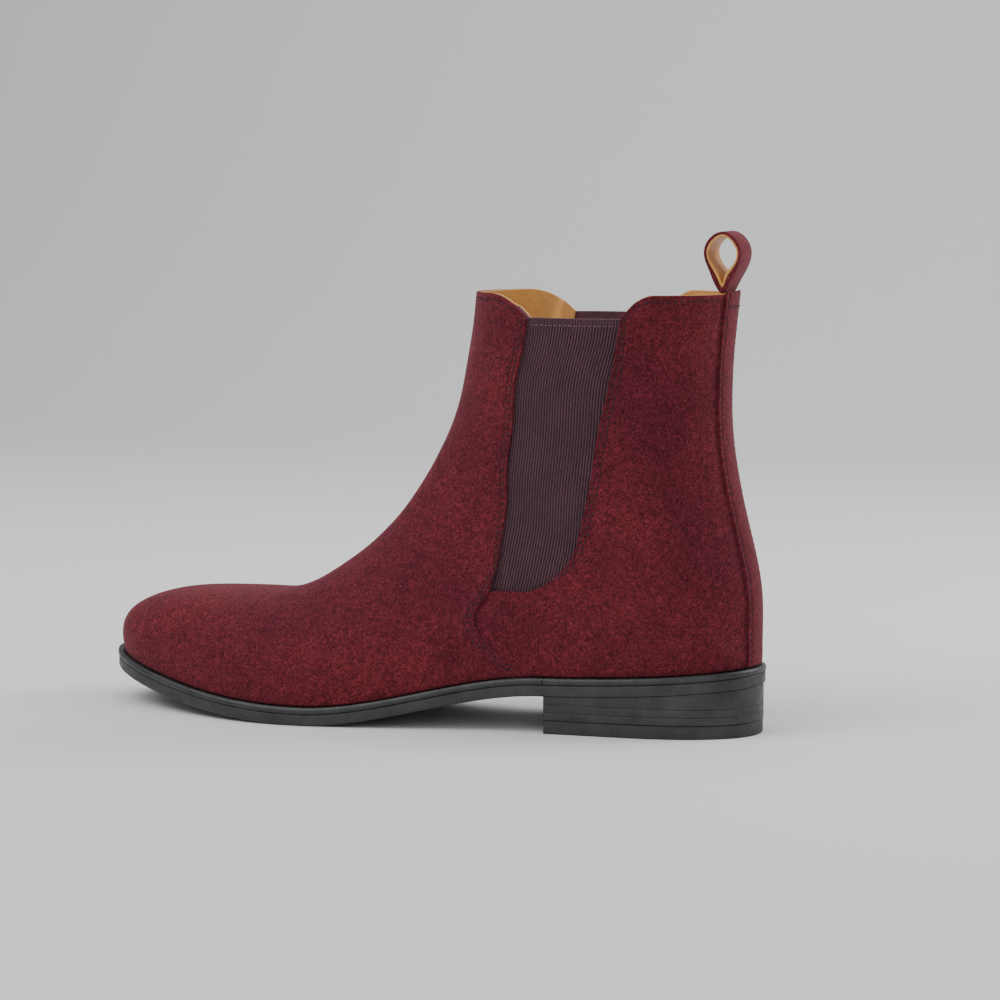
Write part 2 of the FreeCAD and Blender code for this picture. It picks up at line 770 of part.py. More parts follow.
# Half a millimetre or so is left open between the two quarters, and between each of them
# and the vamp.
BACK_SEAM = (straight(179.8, 179.6), straight(0.0, 1.0))
SEAM_GAP = 0.7
QUARTER_EDGE = {side: edge_curves(side, moved(QUARTER_FRONT, -SEAM_GAP)) for side in (LATERAL, MEDIAL)}
QUARTER_ROWS = 26
QUARTER_COLUMNS = 14
for side, name in ((LATERAL, "lateral"), (MEDIAL, "medial")):
    front_edge = edge_curves(side, moved(GORE_FRONT, TUCK))
    rear_edge = edge_curves(side, moved(GORE_REAR, -TUCK))
    layer(f"gore_{name}", between(side, front_edge, rear_edge), *BACKING, 14, 8)
    quarter_places = between(side, QUARTER_EDGE[side], BACK_SEAM)
    layer(f"quarter_{name}", quarter_places, *SUEDE, QUARTER_ROWS, QUARTER_COLUMNS)
    layer(f"quarter_lining_{name}", quarter_places, *LINING, QUARTER_ROWS, QUARTER_COLUMNS)


# The front of the shaft turns about the hinge when the gore stretches. Its lower edge and
# the vamp's rear edge are two rays from the hinge, and a soft wedge fills the space between.
def on_ray(azimuth, slope):
    """Level at which a ray from the hinge, seen from the side, crosses an azimuth."""
    low, high = 0.12, 0.95
    for _ in range(26):
        middle = (low + high) / 2.0
        row, down, side = shaft_place(azimuth, middle)
        p = skin(row, down, side)
        rise = p[2] - HINGE[1] * UPWARD - (p[0] - HINGE[0] * ALONG) * slope
        low, high = (middle, high) if rise < 0.0 else (low, middle)
    return (low + high) / 2.0


FRONT_EDGE = {side: edge_curves(side, GORE_FRONT) for side in (LATERAL, MEDIAL)}
FRONT_COLUMNS = 18
FRONT_ROWS = 16
EDGE_START = 0.03


def edge_azimuth(side, level):
    """Azimuth of the gore's front edge at a level."""
    azimuths, levels = FRONT_EDGE[side]
    low, high = 0.0, 1.0
    for _ in range(20):
        middle = (low + high) / 2.0
        low, high = (middle, high) if levels(middle) < level else (low, middle)
    return azimuths((low + high) / 2.0)


def ray_levels(slope):
    """Azimuth and level where the ray crosses each column of the front of the shaft."""
    crossings = []
    for k in range(FRONT_COLUMNS + 1):
        across = 2.0 * k / FRONT_COLUMNS - 1.0
        side = LATERAL if across >= 0.0 else MEDIAL
        level = 0.3
        for _ in range(4):
            azimuth = across * edge_azimuth(side, level)
            level = on_ray(azimuth, slope)
        crossings.append((azimuth, level))
    return crossings


# The wedge keeps these angles clear of the vamp below it and the shaft front above.
CLEAR_LOW = 0.03
CLEAR_HIGH = 0.02
LOW_RAY = ray_levels(math.tan(BREAK_LOW + CLEAR_LOW))
HIGH_RAY = ray_levels(math.tan(BREAK_HIGH))
HIGH_WEDGE = ray_levels(math.tan(BREAK_HIGH - CLEAR_HIGH))


def front_places(i, j):
    column = round(j * FRONT_COLUMNS)
    across = 2.0 * column / FRONT_COLUMNS - 1.0
    side = LATERAL if across >= 0.0 else MEDIAL
    start = max(HIGH_RAY[column][1], FRONT_EDGE[side][1](EDGE_START))
    level = start + (1.0 - start) * i
    return shaft_place(across * edge_azimuth(side, min(level, 0.96)), level)


layer("front_shaft", front_places, *SUEDE, FRONT_ROWS, FRONT_COLUMNS)
layer("front_shaft_lining", front_places, *LINING, FRONT_ROWS, FRONT_COLUMNS)

WEDGE_TRIM = 3


def wedge_places(i, j):
    column = WEDGE_TRIM + round(j * (FRONT_COLUMNS - 2 * WEDGE_TRIM))
    low, high = LOW_RAY[column], HIGH_WEDGE[column]
    return shaft_place(low[0] + (high[0] - low[0]) * i, low[1] + (high[1] - low[1]) * i)


layer("instep_break", wedge_places, *SUEDE, 4, FRONT_COLUMNS - 2 * WEDGE_TRIM)
layer("instep_break_lining", wedge_places, *LINING, 4, FRONT_COLUMNS - 2 * WEDGE_TRIM)

# Round the heel: a stiff counter under the suede, a grip inside the lining, and the strip
# outside that covers the back seam from the feather to the pull loop.
# Both inner layers follow the quarters' own lines, so that the gap between layers is even.
COUNTER_ROWS = 9
COUNTER_COLUMNS = 7
GRIP_ROWS = 15
GRIP_COLUMNS = 5
LOWEST_LEVEL = 0.015
# Both are skived on the outside by this much, so that they slip in round the tight curve.
SKIVED = 0.45


def round_heel(rows, columns):
    """Places from the lateral side round the back to the medial one, on the lowest rows
    and the rearmost columns of the quarters."""

    def places(i, j):
        across = 1.0 - 2.0 * j
        side = LATERAL if across >= 0.0 else MEDIAL
        share = 1.0 - abs(across) * columns / QUARTER_COLUMNS
        rise = i * rows / QUARTER_ROWS
        azimuths, levels = QUARTER_EDGE[side]
        azimuth = azimuths(rise) * (1.0 - share) + 180.0 * share
        level = levels(rise) * (1.0 - share) + rise * share
        return shaft_place(side * azimuth, max(level, LOWEST_LEVEL))

    return places


counter_places = round_heel(COUNTER_ROWS, COUNTER_COLUMNS)
layer("heel_counter", counter_places, BACKING[0] + SKIVED, BACKING[1], COUNTER_ROWS, 2 * COUNTER_COLUMNS)
grip_places = round_heel(GRIP_ROWS, GRIP_COLUMNS)
layer("heel_grip", grip_places, GRIP[0] + SKIVED, GRIP[1] + SKIVED, GRIP_ROWS, 2 * GRIP_COLUMNS)


def strip_places(i, j):
    """Places on the strip: a fixed width of the back, from the welt to the topline."""
    aside = (1.0 - 2.0 * j) * size("strip_width") / 2.0
    back_at = BACK_CURVE(feather(MARGIN) + (HEIGHT - feather(MARGIN)) * i)
    azimuth = 180.0 - math.degrees(math.asin(aside / (AXIS_BACK - back_at)))
    return shaft_place(azimuth, STRIP_START + (1.0 - STRIP_START) * i)


STRIP_START = 0.006
layer("back_strip", strip_places, -GAP - size("strip_thickness"), -GAP, 20, 8)

# The pull loop is a strap folded into a teardrop and sewn down at its root, where it bends.
ROOT_RADIUS = size("strap_thickness") + 0.8
ROOT_UP = HEIGHT + size("joint_gap") + ROOT_RADIUS
ROOT_BACK = BACK_CURVE(HEIGHT) + 3.2
LOOP_HIGH = size("loop_height")
LOOP_DEEP = size("loop_depth")
# The teardrop's half depths over its height, rear and front, as shares of its depth.
LOOP_REAR = ((0.0, 0.0), (0.12, 0.16), (0.35, 0.42), (0.6, 0.47), (0.85, 0.3), (1.0, 0.0))
LOOP_FRONT = ((0.0, 0.0), (0.12, 0.14), (0.4, 0.36), (0.68, 0.53), (0.88, 0.34), (1.0, 0.0))


def loop_outline(inset):
    """The teardrop seen from the side, its root at the bottom, moved inwards: its sides and
    its top by the inset, and its narrow root by twice that, where the two legs meet."""
    low = ROOT_UP - ROOT_RADIUS + 2.0 * inset
    high = ROOT_UP - ROOT_RADIUS + LOOP_HIGH - inset
    points = []
    for sign, rows in ((-1.0, LOOP_REAR), (1.0, LOOP_FRONT[::-1])):
        for share, depth in rows[:-1]:
            aside = max(depth * LOOP_DEEP - inset, 0.0)
            points.append(Vector(ROOT_BACK - LENGTH / 2.0 + sign * aside, 0.0, low + (high - low) * share))
    edge = Part.BSplineCurve()
    edge.interpolate(Points=points, PeriodicFlag=True)
    return Part.Wire(edge.toShape())


def loop_band(label, outer, inner):
    """One layer of the strap, as wide as the loop, between two insets of the teardrop."""
    outer_face = Part.Face(loop_outline(outer))
    ring = outer_face.cut(Part.Face(loop_outline(inner)))
    ring.translate(Vector(0, -size("loop_width") / 2.0, 0))
    return node(prism(label, feature(label + "_ring", ring), Vector(0, 1, 0), "sizes.loop_width"))


STRAP = size("strap_thickness")
loop_band("pull_loop", 0.0, STRAP)
loop_band("pull_loop_lining", STRAP, 2.0 * STRAP)

# ---------------------------------------------------------------- checks and export

doc.recompute()
faults = []
for made in NODES:
    states = [str(word) for word in made.State]
    if "Invalid" in states or "Error" in states:
        faults.append(made.Label + ": " + " ".join(states))
    elif made.Shape.isNull() or not made.Shape.isValid() or made.Shape.Volume <= 0.0:
        faults.append(made.Label + ": no valid solid")
for made in doc.Objects:
    if "Invalid" in made.State or "Error" in made.State:
        faults.append(made.Label + ": failed to recompute")
if faults:
    raise RuntimeError("; ".join(faults))
os.makedirs("parts", exist_ok=True)
for made in NODES:
    made.Shape.exportStep(os.path.join("parts", made.Label + ".step"))
    extent = made.Shape.BoundBox
    extents = [round(length, 1) for length in (extent.XLength, extent.YLength, extent.ZLength)]
    print(made.Label, round(made.Shape.Volume), *extents)
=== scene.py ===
import math

import bmesh
import bpy
import numpy as np
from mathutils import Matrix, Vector


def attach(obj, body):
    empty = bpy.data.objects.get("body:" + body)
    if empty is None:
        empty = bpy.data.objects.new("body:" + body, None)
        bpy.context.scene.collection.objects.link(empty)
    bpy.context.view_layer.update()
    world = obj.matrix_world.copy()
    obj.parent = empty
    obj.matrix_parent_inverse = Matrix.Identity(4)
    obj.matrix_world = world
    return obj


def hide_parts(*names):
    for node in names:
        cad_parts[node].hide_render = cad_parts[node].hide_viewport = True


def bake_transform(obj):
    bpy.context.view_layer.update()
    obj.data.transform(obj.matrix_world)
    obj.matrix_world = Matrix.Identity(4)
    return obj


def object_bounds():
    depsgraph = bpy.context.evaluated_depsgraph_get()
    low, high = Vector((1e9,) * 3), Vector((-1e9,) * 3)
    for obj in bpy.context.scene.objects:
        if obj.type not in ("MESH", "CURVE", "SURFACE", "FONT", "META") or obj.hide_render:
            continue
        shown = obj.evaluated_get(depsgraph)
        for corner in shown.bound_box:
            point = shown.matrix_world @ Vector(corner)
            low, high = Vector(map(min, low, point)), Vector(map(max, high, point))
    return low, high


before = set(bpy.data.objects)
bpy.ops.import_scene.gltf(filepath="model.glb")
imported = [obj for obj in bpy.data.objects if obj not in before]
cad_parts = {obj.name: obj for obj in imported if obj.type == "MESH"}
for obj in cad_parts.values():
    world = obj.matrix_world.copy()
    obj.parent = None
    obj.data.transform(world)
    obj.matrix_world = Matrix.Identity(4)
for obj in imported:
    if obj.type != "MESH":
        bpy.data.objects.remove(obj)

# A chelsea boot for the left foot, toe along +X, outer side +Y, standing on z = 0.
# Places are worked out as "back" distances from the rear of the sole, sideways
# distances and heights, all in metres; lengths written with MM are millimetres.
MM = 0.001
cad_low, cad_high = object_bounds()
LENGTH = cad_high.x - cad_low.x
LATERAL, MEDIAL = 1.0, -1.0

# ------------------------------------------------------------------ outsole
# One piece of black sole leather with a rubber skin, cut to the last's outline, arched
# over the waist and sprung at the toe. It is glued and nailed under the welt.

HEEL_WIDTH, BALL_WIDTH = 67.0 * MM, cad_high.y - cad_low.y
BREAST = 88.0 * MM
BALL = 0.64 * LENGTH
HEEL_HEIGHT, SEAT_RISE, TOE_SPRING = 16.2 * MM, 5.3 * MM, 16.0 * MM
OUTSOLE, WELT = 5.0 * MM, 3.0 * MM
FEATHER_LIFT = OUTSOLE + WELT


def through(stations):
    """A natural cubic spline through (position, value) stations. On a span with shares
    a and b of its ends it is a*left + b*right + ((a^3-a)*bend + (b^3-b)*bend)*span^2/6."""
    at, value = np.array(stations, float).T
    span = np.diff(at)
    matrix, change = np.eye(len(at)), np.zeros(len(at))
    for k in range(1, len(at) - 1):
        matrix[k, k - 1:k + 2] = span[k - 1], 2.0 * (span[k - 1] + span[k]), span[k]
        change[k] = 6.0 * ((value[k + 1] - value[k]) / span[k] - (value[k] - value[k - 1]) / span[k - 1])
    bend = np.linalg.solve(matrix, change)

    def curve(position):
        """The spline's value at positions, a number or an array."""
        k = np.clip(np.searchsorted(at, position, side="right"), 1, len(at) - 1)
        a = (at[k] - position) / span[k - 1]
        b = 1.0 - a
        cubic = (a**3 - a) * bend[k - 1] + (b**3 - b) * bend[k]
        return a * value[k - 1] + b * value[k] + cubic * span[k - 1] ** 2 / 6.0

    return curve


def rising(value, start, span):
    """0 up to the start, then a straight rise to 1 over the span."""
    return np.clip((value - start) / span, 0.0, 1.0)


def sole_bottom(back):
    """Height of the underside: heel height plus a seat rise of (1 - back/breast)^1.5,
    then a cosine-like step down to the ball, then toe spring times a square."""
    back = np.clip(back, 0.0, LENGTH)
    heel = HEEL_HEIGHT + SEAT_RISE * np.clip(1.0 - back / BREAST, 0.0, 1.0) ** 1.5
    share = rising(back, BREAST, BALL - BREAST)
    waist = HEEL_HEIGHT * (1.0 - share * share * (3.0 - 2.0 * share))
    toe = TOE_SPRING * (np.clip(back - BALL, 0.0, None) / (LENGTH - BALL)) ** 2
    return np.where(back < BREAST, heel, waist + toe)


def feather(back):
    """Height of the welt's top: the underside plus outsole and welt."""
    return sole_bottom(back) + FEATHER_LIFT


HEEL_ROWS = ((0.0, 0.0), (0.02, 0.47), (0.06, 0.74), (0.12, 0.92), (0.2, 1.0))
BALL_ROWS = {
    LATERAL: (
        (0.3, 0.67), (0.4, 0.73), (0.5, 0.845), (0.6, 0.96), (0.67, 1.0),
        (0.75, 0.95), (0.85, 0.765), (0.93, 0.54), (0.98, 0.3), (1.0, 0.0),
    ),
    MEDIAL: (
        (0.3, 0.575), (0.4, 0.57), (0.5, 0.66), (0.6, 0.81), (0.68, 0.945),
        (0.735, 1.0), (0.8, 0.97), (0.87, 0.82), (0.94, 0.56), (0.98, 0.33), (1.0, 0.0),
    ),
}


def outline_curve(side):
    """Half width over the turn, where back = length * (1 - cos turn) / 2."""
    rows = [(share, width * HEEL_WIDTH / 2.0) for share, width in HEEL_ROWS]
    rows += [(share, width * BALL_WIDTH / 2.0) for share, width in BALL_ROWS[side]]
    curve = through([(math.acos(1.0 - 2.0 * share), width) for share, width in rows])
    trim = BALL_WIDTH / 2.0 / curve(np.linspace(0.0, math.pi, 721)).max()

    def half_width(turn):
        """Half width at a turn; the forepart is trimmed to the ball's width."""
        return curve(turn) * np.where(turn > math.pi / 2.0, trim, 1.0)

    return half_width


OUTLINE = {side: outline_curve(side) for side in (LATERAL, MEDIAL)}


def outline(turn, side, inset):
    """Back distance and half width of the sole's edge, moved along its own normal."""
    turn = np.asarray(turn, float)
    step = 1e-3
    after, before = np.minimum(turn + step, math.pi), np.maximum(turn - step, 0.0)
    slope = (OUTLINE[side](after) - OUTLINE[side](before)) / (after - before)
    ahead = LENGTH * np.sin(turn) / 2.0
    norm = np.hypot(ahead, slope)
    back = LENGTH * (1.0 - np.cos(turn)) / 2.0 + inset * slope / norm
    return back, OUTLINE[side](turn) - inset * ahead / norm


def piece(name, points, faces, material, body, replaces=(), shade=None):
    """A closed mesh of the points and faces, in the row frame, faces outwards. shade is
    a value for each point that its material can read; the plum elastic reads it as painted shade."""
    mesh = bpy.data.meshes.new(name)
    points = np.asarray(points, float).reshape(-1, 3).copy()
    points[:, 0] -= LENGTH / 2.0
    mesh.from_pydata(points.tolist(), [], np.asarray(faces).tolist() if len(faces) else [])
    if shade is not None:
        mesh.attributes.new("shade", "FLOAT", "POINT").data.foreach_set("value", shade)
    made = bpy.data.objects.new(name, mesh)
    bpy.context.collection.objects.link(made)
    built = bmesh.new()
    built.from_mesh(mesh)
    bmesh.ops.remove_doubles(built, verts=built.verts, dist=2e-6)
    bmesh.ops.dissolve_degenerate(built, dist=1e-7, edges=built.edges)
    if built.calc_volume(signed=True) < 0.0:
        bmesh.ops.reverse_faces(built, faces=built.faces)
    built.to_mesh(mesh)
    built.free()
    mesh.polygons.foreach_set("use_smooth", [True] * len(mesh.polygons))
    mesh.materials.append(material)
    if isinstance(body, tuple):
        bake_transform(made)
    else:
        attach(made, body)
    if replaces:
        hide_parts(*replaces)
    return made


def tube_faces(rings, around):
    """Quads between rings of points: each joins two neighbours on two rings."""
    ring, spot = np.meshgrid(np.arange(rings - 1), np.arange(around), indexing="ij")
    after = (spot + 1) % around
    low, high = ring * around, (ring + 1) * around
    return np.stack([low + spot, low + after, high + after, high + spot], -1).reshape(-1, 4)


def nodes_of(name):
    """A new material, its node tree and its shader node."""
    material = bpy.data.materials.new(name)
    material.use_nodes = True
    tree = material.node_tree
    return material, tree, tree.nodes["Principled BSDF"]


def noise(tree, scale, detail=4.0, rough=0.55, stretch=None):
    """Noise over object coordinates, its scale in features a metre."""
    spot = tree.nodes.new("ShaderNodeTexCoord")
    made = tree.nodes.new("ShaderNodeTexNoise")
    made.inputs["Scale"].default_value = scale
    made.inputs["Detail"].default_value = detail
    made.inputs["Roughness"].default_value = rough
    source = spot.outputs["Object"]
    if stretch:
        turned = tree.nodes.new("ShaderNodeMapping")
        turned.inputs["Scale"].default_value = stretch
        tree.links.new(source, turned.inputs["Vector"])
        source = turned.outputs["Vector"]
    tree.links.new(source, made.inputs["Vector"])
    return made.outputs["Fac"]


def ramp(tree, source, *stops):
    """A colour ramp: each stop is a place and a linear colour."""
    made = tree.nodes.new("ShaderNodeValToRGB")
    elements = made.color_ramp.elements
    while len(elements) < len(stops):
        elements.new(0.5)
    for element, (place, colour) in zip(elements, stops):
        element.position = place
        element.color = (*colour, 1.0)
    tree.links.new(source, made.inputs["Fac"])
    return made.outputs["Color"]


def multiplied(tree, first, second):
    """The product of two colours."""
    made = tree.nodes.new("ShaderNodeMix")
    made.data_type, made.blend_type = "RGBA", "MULTIPLY"
    made.inputs[0].default_value = 1.0
    tree.links.new(first, made.inputs[6])
    tree.links.new(second, made.inputs[7])
    return made.outputs[2]


def bumps(tree, shader, *layers):
    """Stacks bump layers of (height socket, strength, distance) on the shader."""
    below = None
    for height, strength, distance in layers:
        made = tree.nodes.new("ShaderNodeBump")
        made.inputs["Strength"].default_value = strength
        made.inputs["Distance"].default_value = distance
        tree.links.new(height, made.inputs["Height"])
        if below is not None:
            tree.links.new(below, made.inputs["Normal"])
        below = made.outputs["Normal"]
    tree.links.new(below, shader.inputs["Normal"])


def black_leather(name, dark, light, roughness, grain):
    """Inked and waxed black leather: fine fibrous grain and dusty specks."""
    material, tree, shader = nodes_of(name)
    broad = ramp(tree, noise(tree, 90.0, 5.0), (0.35, dark), (0.7, light))
    fine = noise(tree, grain, 6.0, 0.65)
    speck = ramp(tree, fine, (0.38, (0.62,) * 3), (0.66, (1.35,) * 3))
    tree.links.new(multiplied(tree, broad, speck), shader.inputs["Base Color"])
    shine = ramp(tree, noise(tree, 260.0, 4.0), (0.3, (roughness - 0.1,) * 3), (0.7, (roughness + 0.12,) * 3))
    tree.links.new(shine, shader.inputs["Roughness"])
    shader.inputs["Specular IOR Level"].default_value = 0.5
    fibres = noise(tree, grain * 0.35, 5.0, 0.6, (1.0, 1.0, 3.0))
    bumps(tree, shader, (fibres, 0.35, 0.0004), (fine, 0.45, 0.00025))
    return material


sole_black = black_leather("sole_black", (0.016, 0.016, 0.017), (0.034, 0.034, 0.035), 0.5, 2200.0)
SOLE_TURNS = 260


def sole_solid(name, wall, low, high, material, replaces, end_turn=math.pi, hollow=None):
    """A sole layer: at each turn a ring goes across the bottom, up the outer wall, back
    across the top and down the inner wall. wall holds (inset, share of the height)."""
    turns = end_turn * (1.0 - np.cos(np.linspace(0.0, math.pi, SOLE_TURNS))) / 2.0
    across = np.linspace(0.0, 1.0, 15)
    sides = {}
    for side in (LATERAL, MEDIAL):
        edge = [outline(turns, side, inset) for inset, _ in wall]
        sides[side] = [(back, side * np.maximum(half, 0.0)) for back, half in edge]
    columns = []

    def line(first, second, shares, lift):
        """Adds columns at shares of the way from one edge to another, at one lift."""
        for share in shares:
            back = first[0] * (1.0 - share) + second[0] * share
            aside = first[1] * (1.0 - share) + second[1] * share
            columns.append((back, aside, np.full_like(back, lift)))

    line(sides[MEDIAL][0], sides[LATERAL][0], across, wall[0][1])
    for k in range(1, len(wall) - 1):
        line(sides[LATERAL][k], sides[LATERAL][k], (0.0,), wall[k][1])
    line(sides[LATERAL][-1], sides[MEDIAL][-1], across, wall[-1][1])
    for k in range(len(wall) - 2, 0, -1):
        line(sides[MEDIAL][k], sides[MEDIAL][k], (0.0,), wall[k][1])
    back, aside, lift = (np.stack([c[k] for c in columns], 1) for k in range(3))
    if hollow:
        radius, depth = hollow
        dent = np.clip(depth - radius + np.sqrt(radius**2 - aside**2), 0.0, None)
        near = rising(back / BREAST, 0.7, 0.3)
        back = back - dent * near**2
    bottom, top = low(back), high(back)
    points = np.stack([back, aside, bottom + (top - bottom) * lift], -1)
    faces = tube_faces(len(turns), back.shape[1]).tolist()
    if end_turn < math.pi:
        faces += end_cap((len(turns) - 1) * back.shape[1], back.shape[1])
    return piece(name, points, faces, material, "root", replaces)


def end_cap(first, around):
    """Strips that close a ring of points: each joins the k-th and (k+1)-th points from
    one end of the ring to their partners from the other end."""
    ring = [first + k for k in range(around)]
    return [[ring[k], ring[k + 1], ring[-k - 2], ring[-k - 1]] for k in range(around // 2 - 1)]


def rounded_wall(radius, height, inset):
    """A side wall with both edges rounded: (inset, share of the height) up the wall."""
    turns = np.linspace(0.0, math.pi / 2.0, 5)
    low = [(inset + radius * (1.0 - math.sin(t)), radius * (1.0 - math.cos(t)) / height) for t in turns]
    return low + [(i, 1.0 - share) for i, share in reversed(low)]


sole_solid(
    "outsole_leather", rounded_wall(0.7 * MM, OUTSOLE, 0.3 * MM), sole_bottom,
    lambda back: sole_bottom(back) + OUTSOLE, sole_black, ("outsole",),
)

# ------------------------------------------------------------------ heel
# Stacked leather lifts under the seat, the uppermost cut to a wedge, with a rubber top
# piece on the ground. They are glued, nailed from inside and inked black together.

TOP_PIECE, LIFT = 6.0 * MM, 3.4 * MM
HEEL_INSET, LIFT_JOINT = 1.0 * MM, 0.04 * MM
BREAST_HOLLOW = (62.0 * MM, 5.0 * MM)
heel_black = black_leather("heel_black", (0.013, 0.013, 0.013), (0.033, 0.033, 0.034), 0.44, 1700.0)
rubber_black = black_leather("rubber_black", (0.02, 0.02, 0.021), (0.03, 0.03, 0.031), 0.62, 3200.0)


def flat_at(height):
    """A flat height, whatever the back distance."""
    return lambda back: np.full_like(back, height)


def turn_of(back, inset):
    """The turn whose inset edge lies at a back distance, by halving."""
    low, high = 0.0, math.pi
    for _ in range(40):
        middle = (low + high) / 2.0
        if outline(middle, LATERAL, inset)[0] < back:
            low = middle
        else:
            high = middle
    return (low + high) / 2.0


HEEL_TURN = turn_of(BREAST, HEEL_INSET)
sole_solid(
    "top_piece_rubber", rounded_wall(0.55 * MM, TOP_PIECE, HEEL_INSET + 0.25 * MM),
    flat_at(0.0), flat_at(TOP_PIECE - 0.12 * MM),
    rubber_black, ("top_piece",), HEEL_TURN, BREAST_HOLLOW,
)
HEEL_LIFTS = (
    ("low", LIFT, flat_at(TOP_PIECE + LIFT - LIFT_JOINT)),
    ("middle", LIFT, flat_at(TOP_PIECE + 2 * LIFT - LIFT_JOINT)),
    ("wedge", 2 * LIFT, lambda back: sole_bottom(back) - LIFT_JOINT),
)
for number, (place, height, high) in enumerate(HEEL_LIFTS):
    sole_solid(
        f"heel_lift_{place}", rounded_wall(0.22 * MM, height, HEEL_INSET),
        flat_at(TOP_PIECE + number * LIFT), high,
        heel_black, (f"heel_lift_{number + 1}",), HEEL_TURN, BREAST_HOLLOW,
    )

# ------------------------------------------------------------------ welt and heel rand
# A strip of black welting stands a little proud all round the upper, its upper edge
# rounded and waxed. Behind the breast the rand carries the same line round the seat.

welt_black = black_leather("welt_black", (0.012, 0.012, 0.013), (0.03, 0.03, 0.031), 0.38, 2600.0)
WELT_WIDTH = 11.6 * MM


def edge_strip(name, start, end, node):
    """A strip on the sole's edge: a rounded section of (inset, lift) carried along the
    outline, where the way runs from 0 at the heel over pi at the toe to 2 pi."""
    way = np.linspace(start, end, 420)
    section = [(WELT_WIDTH, 0.05 * MM)]
    section += [(0.45 * MM, 0.05 * MM), (0.12 * MM, 0.3 * MM), (0.0, 0.9 * MM), (0.05 * MM, 1.8 * MM)]
    section += [(0.4 * MM, 2.55 * MM), (0.95 * MM, 2.9 * MM), (1.7 * MM, 2.96 * MM), (2.9 * MM, 2.8 * MM)]
    section += [(4.2 * MM, 2.75 * MM), (WELT_WIDTH, 2.75 * MM)]
    rings = []
    outer = (way >= 0.0) & (way <= math.pi)
    folded = np.where(way > math.pi, 2.0 * math.pi - way, np.abs(way))
    for inset, lift in section:
        out_back, out_half = outline(folded, LATERAL, inset)
        in_back, in_half = outline(folded, MEDIAL, inset)
        back = np.where(outer, out_back, in_back)
        aside = np.where(outer, out_half, -in_half)
        rings.append(np.stack([back, aside, sole_bottom(back) + OUTSOLE + lift], -1))
    points = np.stack(rings, 1)
    faces = tube_faces(len(way), len(section)).tolist()
    faces += end_cap(0, len(section)) + end_cap((len(way) - 1) * len(section), len(section))
    piece(name, points, faces, welt_black, "root", (node,))


WELT_TURN, CUT = turn_of(BREAST, 0.0), 0.0004
edge_strip("welt_strip", WELT_TURN + CUT, 2 * math.pi - WELT_TURN - CUT, "welt")
edge_strip("rand_strip", -WELT_TURN + CUT, WELT_TURN - CUT, "heel_rand")

# ------------------------------------------------------------------ the upper's form
# The upper takes the last's shape. Each section is a cubic curve from the front ridge
# over the side to the feather line, or on the shaft round to the back ridge.

MARGIN, GAP = 3.0 * MM, 0.1 * MM
HEIGHT = 187.0 * MM
# Ridge back and height, foot back (height on the back ridge past the heel), how far the
# curve leaves the ridge sideways, and how far its last control point stands out and up.
SECTIONS = (
    (300.0, 24.5, 300.0, 0.0, 0.0, 0.0),
    (301.0, 31.0, 298.8, 4.5, 2.0, 4.0),
    (299.0, 37.5, 295.0, 10.0, 3.0, 9.0),
    (293.5, 43.0, 287.0, 16.0, 3.5, 14.0),
    (284.0, 47.5, 274.0, 22.0, 2.5, 18.0),
    (270.0, 51.0, 257.0, 28.0, 2.0, 22.0),
    (252.0, 52.5, 237.0, 32.0, 1.5, 25.0),
    (232.0, 52.8, 214.0, 32.0, 1.0, 27.0),
    (213.0, 54.5, 190.0, 29.0, 1.0, 28.0),
    (197.0, 62.5, 165.0, 25.0, 0.0, 31.0),
    (184.0, 71.5, 140.0, 22.0, 1.0, 34.0),
    (173.0, 81.0, 114.0, 21.0, 2.5, 36.0),
    (164.0, 91.0, 86.0, 22.0, 4.5, 38.0),
    (156.0, 102.0, 57.0, 24.0, 8.0, 38.0),
    (149.0, 113.5, 27.0, 27.0, 14.0, 34.0),
    (143.0, 125.0, 0.0, 34.0, 46.0, 26.0),
    (137.5, 139.0, 62.0, 38.0, 44.0, 11.0),
    (134.0, 154.0, 100.0, 41.0, 43.5, 3.0),
    (131.0, 170.0, 143.0, 45.0, 47.0, 0.0),
    (128.5, 187.0, 187.0, 50.0, 50.0, 0.0),
)
HEEL_ROW, LAST_ROW = 15, len(SECTIONS) - 1
BACK_RIDGE = (
    (27.0, 3.0), (45.0, 3.0), (62.0, 3.6), (80.0, 7.3),
    (100.0, 12.2), (125.0, 16.6), (150.0, 17.3), (187.0, 14.3),
)
back_curve = through([(up * MM, back * MM) for up, back in BACK_RIDGE])
rows = list(enumerate(SECTIONS))


def turn_at(back):
    """The turn whose inset foot lies at a back distance: acos(1 - 2 * share)."""
    inner = (back * MM - MARGIN) / (LENGTH - 2.0 * MARGIN)
    return math.acos(1.0 - 2.0 * min(max(inner, 0.0), 1.0))


ridge_back = through([(k, row[0] * MM) for k, row in rows])
ridge_up = through([(k, row[1] * MM) for k, row in rows])
ridge_reach = through([(k, row[3] * MM) for k, row in rows])
foot_turn = through([(k, turn_at(row[2])) for k, row in rows[:HEEL_ROW + 1]])
foot_rise = through([(HEEL_ROW, feather(MARGIN))] + [(k, row[2] * MM) for k, row in rows[HEEL_ROW + 1:]])


def foot(row, side):
    """The lower end of a section: on the inset feather line up to the heel's row, and
    past it on the back ridge."""
    back, half = outline(np.clip(foot_turn(row), 0.0, math.pi), side, MARGIN)
    up = foot_rise(row)
    low = row <= HEEL_ROW
    return (
        np.where(low, back, back_curve(up)),
        np.where(low, np.maximum(half, 0.0), 0.0),
        np.where(low, feather(back), up) + GAP,
    )


def hold_curves(side):
    """Splines for the sections' last control points: foot plus how far out and up."""
    places = np.arange(LAST_ROW + 1.0)
    back, half, up = foot(places, side)
    out = np.array([row[4] for _, row in rows]) * MM
    rise = np.array([row[5] for _, row in rows]) * MM
    return [through(list(zip(places, line))) for line in (back, half + out, up + rise)]


